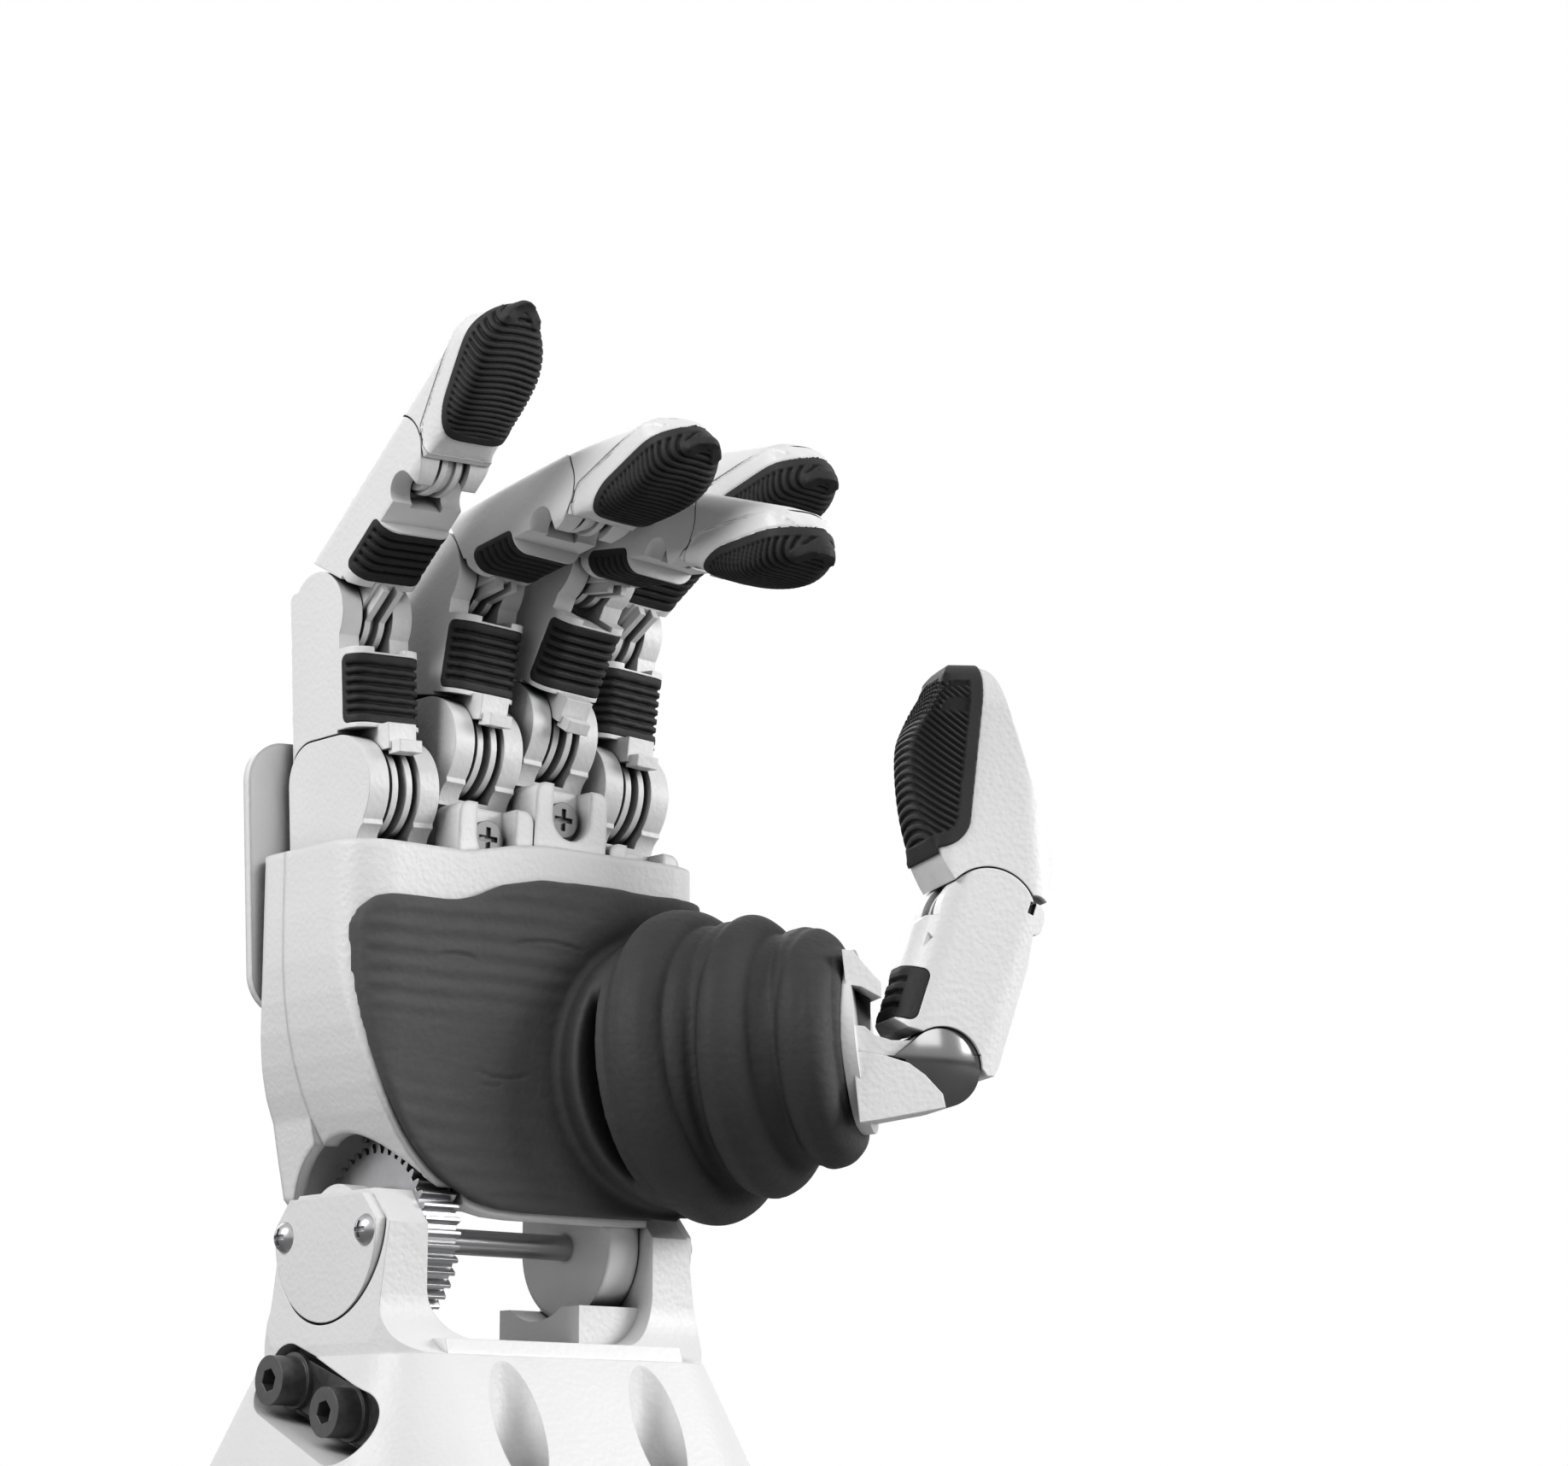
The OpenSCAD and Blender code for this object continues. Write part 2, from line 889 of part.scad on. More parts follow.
// ---------------------------------------------------------------- wrist drive

function spread_angle(base_r, r) = let (a = acos(min(1, base_r / r))) tan(a) * 180 / PI - a;

// One gear tooth that points along +X, with involute flanks
module gear_tooth(n) {
    pitch_r = gear_m * n / 2;
    base_r = pitch_r * cos(20);
    root_r = pitch_r - 1.1 * gear_m;
    tip_r = pitch_r + tooth_h;
    half = 90 / n + spread_angle(base_r, pitch_r) - backlash / pitch_r * 90 / PI;
    low_r = max(base_r, root_r);
    steps = [for (k = [0 : 4]) low_r + (tip_r - low_r) * k / 4];
    right = [for (r = steps) let (a = half - spread_angle(base_r, r)) [r * cos(a), -r * sin(a)]];
    left = [for (k = [4 : -1 : 0]) [right[k][0], -right[k][1]]];
    foot = root_r - 0.3;
    polygon(concat([[foot * cos(half), -foot * sin(half)]], right, left, [[foot * cos(half), foot * sin(half)]]));
}

// A spur gear's outline with its first tooth at an angle
module gear_outline(n, start) {
    circle(gear_m * n / 2 - 1.1 * gear_m);
    for (k = [0 : n - 1])
        rotate(start + k * 360 / n)
            gear_tooth(n);
}

module wrist_gear() {
    color(steel)
        translate([-arm_in + gear_w / 2, 0, wrist_z])
            difference() {
                along_x(gear_w)
                    gear_outline(gear_teeth, 90 + 180 / gear_teeth);
                rod_x(shaft_r + run_fit, gear_w + 1);
            }
}

module wrist_pinion() {
    color(steel)
        translate([-arm_in + gear_w / 2, 0, pinion_z])
            difference() {
                along_x(gear_w - 1.2)
                    gear_outline(pinion_teeth, -90);
                rod_x(motor_shaft_r + run_fit, gear_w + 1);
            }
}

module wrist_shaft() {
    color(steel)
        translate([0, 0, wrist_z])
            rod_x(shaft_r, 2 * arm_out - 0.6);
}

module wrist_motor() {
    color(dark)
        translate([motor_x, 0, pinion_z]) {
            translate([motor_len / 2, 0, 0])
                rod_x(motor_r, motor_len);
            translate([-1.75, 0, 0])
                rod_x(4, 3.51);
            translate([-motor_reach / 2, 0, 0])
                rod_x(motor_shaft_r, motor_reach);
        }
}

// ---------------------------------------------------------------- palm

// Points of a rounded corner, as a quarter of a superellipse
function bowed(cx, cz, rx, rz, power) = [
    for (k = [0 : 14])
        let (t = 90 * k / 14)
            [cx + rx * pow(cos(t), 2 / power), cz - rz * pow(sin(t), 2 / power)]
];

// Top edge of the palm from the thumb side, higher behind the middle fingers
function palm_crest(inset) = [
    [palm_right - inset, palm_top + 2], [palm_right - 10, palm_top + 2.5], [palm_left + 45, palm_top + 2.7],
    [palm_left + 36, palm_top + 1.6], [palm_left + 26, palm_top - 0.5]
];

// Front outline of the palm with its bowed little-finger side, as (X, Z)
module palm_outline(inset) {
    left = bowed(palm_left + 39, wrist_z + 60, -39 + inset, -(-56.5 + inset), 2.3);
    right = bowed(palm_right - 8, wrist_z + 17, 8 - inset, 13.5 - inset, 2);
    polygon(concat(
        [[palm_left + inset, palm_top - 0.5]],
        left,
        [for (k = [14 : -1 : 0]) right[k]],
        palm_crest(inset)
    ));
}

// Outline of the back cover, whose lobes reach down behind the fork's arms
module back_outline(inset) {
    left = bowed(palm_left + 39, wrist_z + 60, -39 + inset, 56.5 - inset, 2.3);
    lobe_tip = wrist_z + 5.3 + inset;
    polygon(concat(
        [[palm_left + inset, palm_top - 0.5]],
        [for (p = left) if (p[1] > wrist_z + 21) p],
        [[-33.5 + inset, wrist_z + 8], [-31 + inset, lobe_tip], [-arm_in + 1, lobe_tip], [-arm_in + 2, floor_z],
            [arm_in - 2, floor_z], [arm_in - 1, lobe_tip], [31 - inset, lobe_tip], [33.5 - inset, wrist_z + 8]],
        [[palm_right - 4.5 - inset, wrist_z + 21], [palm_right - inset, wrist_z + 34]],
        palm_crest(inset)
    ));
}

// Section of the palm across the hand, with rounded corners, as (X, Y)
module palm_section(inset) {
    front_r = 9;
    translate([(palm_left + palm_right) / 2, (palm_front + palm_back) / 2])
        rounded(palm_w - 2 * inset, palm_d - 2 * inset, front_r - inset);
}

// Space that the fork, the gears and the shaft's surroundings take from the palm
module wrist_space() {
    for (side = [-1, 1])
        translate([side * (arm_in - 0.4 + 20), 0, wrist_z])
            rod_x(arm_r + 1.2, 40);
    translate([-arm_in + 4.2, 0, wrist_z])
        rod_x(gear_r + tooth_h + 1.1, 9.6);
    translate([-arm_in + 4, 0, pinion_z])
        rod_x(pinion_r + tooth_h + 0.7, 9.2);
}

// Round mount of the thumb's bellows on the palm's thumb side
module thumb_mount(r, low, high) {
    translate([root_x, (low + high) / 2, root_z])
        rod_y(r, high - low);
}

module palm_frame() {
    color(white)
        difference() {
            union() {
                difference() {
                    union() {
                        intersection() {
                            translate([0, (palm_front + seam_y) / 2, 0])
                                along_y(seam_y - palm_front)
                                    palm_outline(0);
                            linear_extrude(200)
                                palm_section(0);
                        }
                        thumb_mount(mount_r, palm_front, -2);
                    }
                    // hollow
                    intersection() {
                        along_y(2 * palm_d)
                            union() {
                                intersection() {
                                    palm_outline(palm_wall);
                                    translate([-palm_w, floor_z + 4])
                                        square([2 * palm_w, palm_h]);
                                }
                                translate([palm_left + 12, palm_top - 10])
                                    square([palm_w - 14, 30]);
                            }
                        linear_extrude(200)
                            palm_section(palm_wall);
                    }
                    // step under the front lip
                    block([-arm_in - 1, palm_front + 4.5, 0], [arm_in + 20, palm_back + 1, floor_z]);
                    block([palm_left - 1, palm_front + 4.5, 0], [-arm_in, palm_back + 1, wrist_z + 1]);
                }
                // bulkhead that carries the motor
                intersection() {
                    block([motor_x - 3.5, palm_front + 1, floor_z + 1], [motor_x, seam_y, pinion_z + 14]);
                    along_y(100)
                        palm_outline(1);
                }
                // lug that hangs on the wrist shaft
                translate([lug_x, 0, wrist_z])
                    rod_x(lug_r, lug_w);
                translate([lug_x - lug_w / 2, -lug_r, wrist_z])
                    cube([lug_w, 2 * lug_r, 14]);
                for (i = [0 : 3])
                    finger_lug(i);
                thumb_brackets();
            }
            translate([lug_x, 0, wrist_z])
                rod_x(shaft_r, lug_w + 2);
            translate([motor_x - 1, 0, pinion_z])
                rod_x(4, 6);
            wrist_space();
            for (i = [0 : 3])
                at_pivot(i)
                    translate([0, -8, 0])
                        rod_y(pin_r - run_fit, 8);
            at_swing()
                cylinder(r = pin_r + run_fit, h = 40, center = true);
        }
}

// Front bearing block of a finger's sideways pivot, notched for the pin's head
module finger_lug(i) {
    lug_half = finger_pitch / 2 - 0.35;
    lug_top = 6.2;
    lug_low = 9;
    corner_r = 2.4;
    at_pivot(i)
        difference() {
            translate([0, (palm_front + 2.5 - 6) / 2, 0])
                along_y(-6 - palm_front - 2.5)
                    translate([0, (lug_top - lug_low) / 2])
                        rounded(2 * lug_half, lug_top + lug_low, corner_r);
            translate([0, palm_front, 0])
                rod_y(4.7, 14.5);
            translate([-4.7, palm_front - 7.25, 0])
                cube([9.4, 14.5, 10]);
        }
}

module abduction_pins() {
    head_r = 3.6;
    head_h = 2.2;
    color(steel)
        for (i = [0 : 3])
            at_pivot(i)
                difference() {
                    union() {
                        translate([0, (ear_back - 1 - 10) / 2, 0])
                            rod_y(pin_r - run_fit, ear_back - 1 + 10);
                        translate([0, palm_front + 7.25 - head_h / 2, 0])
                            rod_y(head_r, head_h);
                    }
                    for (a = [0, 90])
                        rotate([0, a, 0])
                            translate([0, palm_front + 7.25 - head_h, 0])
                                cube([4.4, 2, 1], center = true);
                }
}

// Rounded plate of the back cover that stands behind a knuckle
module back_ear(i) {
    corner_r = 8;
    ear_half = 12;
    ear_low = 42;
    at_knuckle(i)
        translate([-3.9, (ear_front + ear_back) / 2, 0])
            along_y(ear_back - ear_front)
                translate([0, (12 - ear_low) / 2])
                    rounded(2 * ear_half, 12 + ear_low, corner_r);
}

module dorsal_cover() {
    color(white)
        difference() {
            union() {
                difference() {
                    intersection() {
                        translate([0, (seam_y + palm_back) / 2, 0])
                            along_y(palm_back - seam_y)
                                back_outline(0);
                        linear_extrude(200)
                            palm_section(0);
                    }
                    intersection() {
                        along_y(2 * (palm_back - palm_wall))
                            union() {
                                back_outline(palm_wall);
                                translate([palm_left + 12, palm_top - 10])
                                    square([palm_w - 14, 30]);
                            }
                        linear_extrude(200)
                            palm_section(palm_wall);
                    }
                }
                for (i = [0 : 3]) {
                    back_ear(i);
                    at_pivot(i)
                        translate([0, (knuckle_back + gap + ear_back) / 2, 0])
                            rod_y(6.5, ear_back - knuckle_back - gap);
                }
            }
            wrist_space();
            block([lug_x - lug_w / 2 - seat, 0, 0], [lug_x + lug_w / 2 + seat, lug_r + seat, wrist_z + 14 + seat]);
            for (i = [0 : 3])
                at_pivot(i)
                    translate([0, ear_back - 6, 0])
                        rod_y(pin_r - run_fit, 10);
        }
}

// Outline of the palm skin, with a wave along its top edge
module skin_outline() {
    intersection() {
        palm_outline(1);
        polygon([
            [palm_left, 0], [palm_right, 0], [palm_right, palm_top - 5], [palm_left + 60, palm_top - 4.2],
            [palm_left + 43, palm_top - 4.4], [palm_left + 33, palm_top - 6.5], [palm_left + 27, palm_top - 9.3],
            [palm_left + 22, palm_top - 10.6], [palm_left + 8, palm_top - 10.8], [palm_left + 4.5, palm_top - 11.4],
            [palm_left + 2, palm_top - 13.6], [palm_left + 1, palm_top - 17]
        ]);
    }
}

// The skin is laid over the palm's front and wraps round its corners
module palm_skin() {
    color(rubber)
        difference() {
            union() {
                intersection() {
                    along_y(4 * palm_d)
                        skin_outline();
                    linear_extrude(200)
                        difference() {
                            palm_section(-skin_t);
                            palm_section(0);
                            translate([-palm_w, palm_front + 8])
                                square(2 * palm_w);
                            translate([palm_right - 3, palm_front])
                                square(palm_w);
                        }
                }
                thumb_mount(mount_r, palm_front - skin_t, palm_front);
            }
            thumb_mount(mount_r + seat, palm_front, -2);
            thumb_mount(root_bore, palm_front - 10, palm_front + 10);
            wrist_space();
        }
}

// ---------------------------------------------------------------- thumb

// Heading of the bellows' path and the frame at a distance along it, with +Z along the path
function heading(s) = start_heading + (end_heading - start_heading) * s / bellows_len;

module at_path(s) {
    turn_r = bellows_len * 180 / PI / (end_heading - start_heading);
    translate([
        root_x + turn_r * (sin(heading(s)) - sin(start_heading)),
        palm_front - 0.5 - turn_r * (cos(heading(s)) - cos(start_heading)),
        root_z + rise_per_mm * s
    ])
        rotate([0, 90 - atan(rise_per_mm), heading(s)])
            children();
}

// Frame of the thumb's sideways axis, with +X along the yoke
module at_swing() {
    translate(swing_at)
        rotate([0, 0, yoke_heading])
            children();
}

module at_flex() {
    at_swing()
        translate([yoke_len, 0, 0])
            children();
}

module at_collar() {
    at_path(bellows_len)
        children();
}

// Frame of the thumb's first knuckle, with +Y to the back of the thumb
module at_thumb_knuckle() {
    translate(knuckle_at)
        rotate([0, 0, thumb_heading])
            children();
}

module at_thumb_proximal() {
    at_thumb_knuckle()
        rotate([thumb_bend[0], 0, 0])
            children();
}

module at_thumb_distal() {
    at_thumb_proximal()
        translate([0, 0, thumb_proximal_len])
            rotate([thumb_bend[1], 0, 0])
                children();
}

// One lobe of the bellows: a round bead on a tapering sleeve
module bellows_lobe(r, low_r, high_r) {
    bead_r = 6.2;
    rotate_extrude()
        polygon([for (a = [0 : 30 : 330]) [r - bead_r + bead_r * cos(a), bead_r * sin(a)]]);
    translate([0, 0, -8.5])
        cylinder(r1 = low_r, r2 = high_r, h = 17);
}

module thumb_bellows() {
    color(rubber)
        difference() {
            union() {
                at_path(10)
                    bellows_lobe(31, 27.4, 25.4);
                at_path(23)
                    bellows_lobe(27.5, 25.6, 21.6);
                at_path(35)
                    bellows_lobe(23.5, 22.4, 18);
                thumb_mount(mount_r - 0.2, palm_front - 8, palm_front);
            }
            // hollow for the thumb's yoke
            at_path(-8)
                cylinder(r = 21, h = 30);
            at_path(20)
                cylinder(r = 18, h = 14);
            at_path(30)
                cylinder(r = 15, h = 20);
            block([-60, palm_front - skin_t, 0], [120, 40, 200]);
            at_collar()
                translate([0, 0, -collar_t])
                    cylinder(r = 60, h = 40);
        }
}

// Two plates on the palm that hold the yoke's sideways trunnions
module thumb_brackets() {
    for (side = [-1, 1])
        translate([0, 0, side * (bracket_z + 1.75)])
            at_swing() {
                cylinder(r = 5.5, h = 3.5, center = true);
                rotate([0, 0, -yoke_heading])
                    translate([-5.5, 0, -1.75])
                        cube([11, 24, 3.5]);
            }
}

module thumb_yoke() {
    color(steel) {
        at_swing() {
            cylinder(r = pin_r, h = 2 * (bracket_z + 3), center = true);
            cylinder(r = yoke_hub_r, h = 2 * (bracket_z - gap), center = true);
            for (side = [-1, 1])
                translate([0, side * cheek_y - cheek_t / 2, -yoke_r])
                    cube([yoke_len, cheek_t, 2 * yoke_r]);
        }
        at_flex() {
            for (side = [-1, 1])
                translate([0, side * cheek_y, 0])
                    rod_y(yoke_r, cheek_t);
            rod_y(pin_r, 2 * (cheek_y + cheek_t / 2));
        }
    }
}

// Side outlines of the metacarpal, as (Y, Z) from the knuckle: the cheek that reaches the hub
module cheek_side(grow) {
    g = grow * 0.7;
    polygon([
        [-26, 2.8 + grow], [-17, 2.5 + grow], [-11.4, 1.9 + grow], [-6.8 + g, 0.7 + g],
        [-3.5 + g, -1.5 + g], [g, -5 + g], [0.6 + grow, -thumb_hub_r - grow], [-12, -10.2 - grow],
        [-26, -12.6 - grow]
    ]);
}

// The saddle over the cheek, and the bracket that braces the collar
module web_side() {
    polygon([
        [-26, 8.2], [-15.3, 7.6], [-13.4, 6], [-10, 5.1], [-5.6, 5.2], [-7.4, 3], [-9.4, 2], [-12, 0],
        [-26, 0]
    ]);
    polygon([[-26, 23], [-17.6, 22], [-15, 19.2], [-11.9, 16], [-11.9, 13.2], [-16, 15.2], [-26, 16]]);
}

// What the dark cap covers of the hub
module cap_side(play) {
    difference() {
        union() {
            circle(thumb_hub_r + play);
            polygon([[-11 - play, 2], [-9.4, 2 + play], [-5, 5.7 + play], [0, 0]]);
        }
        cheek_side(seat - play);
    }
}

module thumb_metacarpal() {
    wedge_w = thumb_w - 1.5;
    color(white)
        difference() {
            union() {
                at_collar() {
                    translate([0, 0, -collar_t])
                        cylinder(r = collar_d / 2, h = collar_t);
                    translate([0, 0, -19])
                        cylinder(r = 6.5, h = 18);
                }
                difference() {
                    at_thumb_knuckle() {
                        along_x(wedge_w)
                            union() {
                                circle(thumb_hub_r);
                                cheek_side(0);
                            }
                        along_x(wedge_w - 2 * web_inset)
                            web_side();
                    }
                    at_collar()
                        translate([0, 0, -1 - 60])
                            cylinder(r = 80, h = 60);
                }
                at_flex()
                    rod_y(6, 8);
                at_flex()
                    block([0, -4, -6], [5, 4, 6]);
            }
            // slot of the thumb's tongue and the seats of the cap
            at_thumb_knuckle() {
                rod_x(thumb_hub_r - 0.4, slot_w);
                translate([-slot_w / 2, -3, 0])
                    cube([slot_w, 20, 20]);
                translate([-slot_w / 2, -thumb_hub_r - 2, 0])
                    cube([slot_w, 12, 20]);
                rod_x(pin_r, thumb_w + 4);
                for (side = [-1, 1])
                    translate([side * wedge_w / 2, 0, 0])
                        along_x(2 * cap_deep)
                            cap_side(seat);
            }
            // room for the yoke's cheeks
            at_flex() {
                rod_y(pin_r + run_fit, 20);
                for (side = [-1, 1])
                    translate([0, side * (cheek_y + 1.55), 0])
                        rod_y(yoke_r + 1.4, 6);
            }
        }
}

module thumb_joint_cap() {
    wedge_w = thumb_w - 1.5;
    color(dark)
        // dark core in the bracket's opening, seated on the collar
        difference() {
            at_thumb_knuckle()
                along_x(6)
                    polygon([[-26, 8.3], [-15.3, 7.7], [-12.6, 6.2], [-12.6, 13.4], [-16, 15.1], [-26, 15.9]]);
            at_collar()
                translate([0, 0, -60])
                    cylinder(r = 80, h = 60 + seat);
        }
    color(dark)
        at_thumb_knuckle() {
            rod_x(pin_r - run_fit, wedge_w);
            for (side = [-1, 1])
                translate([side * (wedge_w / 2 - cap_deep / 2), 0, 0])
                    along_x(cap_deep)
                        cap_side(0);
        }
}

// Side outline of the thumb's first link, as (Y, Z)
module thumb_proximal_side() {
    translate([0, thumb_proximal_len])
        circle(thumb_dome_r);
    translate([ear_at[0], thumb_proximal_len + ear_at[1]])
        circle(ear_r);
    translate(lip_at)
        circle(lip_r);
    polygon([
        [-thumb_dome_r, thumb_proximal_len], [-9.2, 28.4], [-11.4, 27.8], [-12.7, 25.6], [-thumb_front, 21],
        [-thumb_front, 8.6], [-11.2, 6.2], [-8.8, 5.2], [0, 5.4], [6.4, 5], [7.2, 2.8], [9.1, 1.8],
        [11, 2.6], [thumb_d - thumb_front - 1, 5], [thumb_d - thumb_front - 1.6, 25],
        [thumb_dome_r, thumb_proximal_len]
    ]);
}

module thumb_tongue(r) {
    for (side = [-1, 1])
        translate([side * (tongue_w / 2 - 0.9 - rib_t / 2), 0, 0])
            rod_x(r, rib_t);
    rod_x(r - 2, tongue_w);
}

module thumb_proximal() {
    color(white)
        at_thumb_proximal()
            difference() {
                union() {
                    difference() {
                        intersection() {
                            along_x(thumb_w)
                                thumb_proximal_side();
                            linear_extrude(60)
                                translate([0, thumb_d / 2 - thumb_front])
                                    rounded(thumb_w, thumb_d, thumb_corner);
                        }
                        rod_x(thumb_hub_r + gap, thumb_w + 2);
                        // notches beside the lip and the ear
                        for (side = [-1, 1])
                            translate([side * thumb_w / 2, 0, 0])
                                along_x(5) {
                                    polygon([[-12.2, 25.6], [-9.4, 23.6], [-10.7, 20.8]]);
                                    translate([ear_at[0] - 1.4, thumb_proximal_len + ear_at[1] + 1.6])
                                        square([1.4, 2.4], center = true);
                                }
                        // slot of the end joint's tongue
                        translate([0, 0, thumb_proximal_len])
                            rod_x(thumb_dome_r + 0.1, slot_w);
                        translate([-slot_w / 2, -thumb_front - 1, thumb_proximal_len])
                            cube([slot_w, thumb_d + 2, thumb_dome_r + 1]);
                        pad_band(thumb_w, thumb_front, thumb_pad_low, thumb_pad_high, pad_t, 0);
                    }
                    thumb_tongue(thumb_hub_r - 0.9);
                    block([-tongue_w / 2, -4.5, 0], [tongue_w / 2, 4.5, thumb_hub_r + 4]);
                }
                rod_x(pin_r, thumb_w + 4);
                translate([0, 0, thumb_proximal_len])
                    rod_x(pin_r, thumb_w - 3);
            }
}

module thumb_proximal_pad() {
    color(rubber)
        at_thumb_proximal()
            intersection() {
                pad_band(thumb_w, thumb_front, thumb_pad_low + seat, thumb_pad_high - seat, pad_t - seat, 0);
                linear_extrude(60)
                    translate([0, thumb_d / 2 - thumb_front])
                        rounded(thumb_w, thumb_d, thumb_corner);
                along_x(thumb_w)
                    thumb_proximal_side();
            }
}

module thumb_end_pin() {
    color(steel)
        at_thumb_proximal()
            translate([0, 0, thumb_proximal_len])
                rod_x(pin_r - run_fit, thumb_w - 3.4);
}

// The thumb tip's envelope: a tapered side outline with rounded sides and a domed end
module thumb_tip_form(grow) {
    end_r = 5.4;
    bow = 44;
    intersection() {
        along_x(thumb_w + 10)
            intersection() {
                union() {
                    polygon(concat(
                        [[-14.2 - grow, 6], [-14.2 - grow, 34]],
                        [for (a = [165 : -15 : 15])
                            [(end_r + grow) * cos(a) - 0.4, (end_r + grow) * sin(a) + thumb_tip_len - end_r]],
                        [[14.8 + grow, 11], [12.2, 4.4]]
                    ));
                    translate([-6.6, 1])
                        square([18.8, 8]);
                }
                translate([bow - 12.9, 30])
                    circle(bow + grow);
            }
        along_y(80)
            union() {
                translate([-thumb_w / 2 - grow, -5])
                    square([thumb_w + 2 * grow, thumb_tip_len - thumb_w / 2 + 4.6]);
                translate([0, thumb_tip_len - thumb_w / 2 - 0.4])
                    circle(thumb_w / 2 + grow);
            }
        linear_extrude(80)
            translate([0, 1.1])
                rounded(thumb_w + 2 * grow, 30.6 + 2 * grow, 8);
    }
}

module thumb_distal() {
    color(white)
        at_thumb_distal()
            difference() {
                union() {
                    difference() {
                        thumb_tip_form(0);
                        rod_x(thumb_dome_r + gap, thumb_w + 4);
                    }
                    thumb_tongue(thumb_dome_r - 0.9);
                    block([-tongue_w / 2, -5, 0], [tongue_w / 2, 5, thumb_dome_r + 3]);
                }
                tip_pad_zone(-2.6, 21, 10.2, 9.5, 0);
                rod_x(pin_r, thumb_w);
                // room for the ear of the first link as the tip straightens
                for (more = [0, 3.5, 7])
                    rotate([more - thumb_bend[1], 0, 0])
                        translate([0, ear_at[0], ear_at[1]])
                            rod_x(ear_r + gap, thumb_w + 4);
            }
}

module thumb_tip_pad() {
    color(rubber)
        at_thumb_distal()
            difference() {
                intersection() {
                    thumb_tip_form(0.4);
                    tip_pad_zone(-2.6, 21, 10.2, 9.5, seat);
                }
                rod_x(thumb_dome_r + gap, thumb_w + 4);
            }
}

forearm_fork();
bearing_covers();
cover_screws();
adjuster_bolts();
adjuster_rail();
wrist_gear();
palm_frame();
dorsal_cover();
palm_skin();
wrist_shaft();
wrist_motor();
abduction_pins();
wrist_pinion();
knuckle(0);  // little_knuckle
axle(0);  // little_axle
proximal(0);  // little_proximal
proximal_pad(0);  // little_proximal_pad
middle(0);  // little_middle
middle_pins(0);  // little_middle_pins
middle_pad(0);  // little_middle_pad
distal(0);  // little_distal
tip_pad(0);  // little_tip_pad
knuckle(1);  // ring_knuckle
axle(1);  // ring_axle
proximal(1);  // ring_proximal
proximal_pad(1);  // ring_proximal_pad
middle(1);  // ring_middle
middle_pins(1);  // ring_middle_pins
middle_pad(1);  // ring_middle_pad
distal(1);  // ring_distal
tip_pad(1);  // ring_tip_pad
knuckle(2);  // middle_knuckle
axle(2);  // middle_axle
proximal(2);  // middle_proximal
proximal_pad(2);  // middle_proximal_pad
middle(2);  // middle_middle
middle_pins(2);  // middle_middle_pins
middle_pad(2);  // middle_middle_pad
distal(2);  // middle_distal
tip_pad(2);  // middle_tip_pad
knuckle(3);  // index_knuckle
axle(3);  // index_axle
proximal(3);  // index_proximal
proximal_pad(3);  // index_proximal_pad
middle(3);  // index_middle
middle_pins(3);  // index_middle_pins
middle_pad(3);  // index_middle_pad
distal(3);  // index_distal
tip_pad(3);  // index_tip_pad
thumb_bellows();
thumb_yoke();
thumb_metacarpal();
thumb_joint_cap();
thumb_proximal();
thumb_proximal_pad();
thumb_end_pin();
thumb_distal();
thumb_tip_pad();
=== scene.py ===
# %% [markdown]
# # A five-finger robot hand
# The hand stands on a forked wrist base. Its links are white moulded shells, the pads are ribbed rubber,
# and a soft rubber skin covers the palm and runs into a bellows at the root of the thumb.
# Every rigid link comes from the engineering model and stays as it is. This lesson gives those links
# their finish, and it builds the soft pieces again with the ribs, folds and grain that rubber has.

# %% The fixed frame
import json
import math
import bmesh
import bpy
import numpy as np
from mathutils import Matrix, Vector, noise
from mathutils.kdtree import KDTree


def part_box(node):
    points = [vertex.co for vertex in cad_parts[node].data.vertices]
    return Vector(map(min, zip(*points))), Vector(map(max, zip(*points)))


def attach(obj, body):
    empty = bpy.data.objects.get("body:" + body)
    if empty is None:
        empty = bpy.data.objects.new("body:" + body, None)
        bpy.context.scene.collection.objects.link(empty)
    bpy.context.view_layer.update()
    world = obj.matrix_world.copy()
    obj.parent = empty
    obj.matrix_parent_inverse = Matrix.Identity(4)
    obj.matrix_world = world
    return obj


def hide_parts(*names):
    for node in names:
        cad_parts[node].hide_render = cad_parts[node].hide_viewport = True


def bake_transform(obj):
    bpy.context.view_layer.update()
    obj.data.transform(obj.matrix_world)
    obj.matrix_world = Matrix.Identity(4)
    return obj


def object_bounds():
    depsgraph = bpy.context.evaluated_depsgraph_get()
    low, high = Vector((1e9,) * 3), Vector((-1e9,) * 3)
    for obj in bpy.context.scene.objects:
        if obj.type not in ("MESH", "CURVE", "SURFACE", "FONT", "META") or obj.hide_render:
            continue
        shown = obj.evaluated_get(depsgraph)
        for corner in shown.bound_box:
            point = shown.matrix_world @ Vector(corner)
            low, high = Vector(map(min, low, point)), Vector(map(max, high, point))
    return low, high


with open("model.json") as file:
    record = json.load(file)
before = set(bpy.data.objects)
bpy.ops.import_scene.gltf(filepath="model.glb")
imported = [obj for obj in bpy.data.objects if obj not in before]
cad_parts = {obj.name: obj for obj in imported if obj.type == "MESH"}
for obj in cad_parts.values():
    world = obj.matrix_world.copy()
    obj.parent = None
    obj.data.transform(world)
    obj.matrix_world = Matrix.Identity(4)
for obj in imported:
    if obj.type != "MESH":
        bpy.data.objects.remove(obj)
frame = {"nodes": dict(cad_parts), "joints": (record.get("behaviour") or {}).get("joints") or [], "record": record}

cad_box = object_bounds()
nodes = frame["nodes"]
joints = {joint["name"]: joint for joint in frame["joints"]}
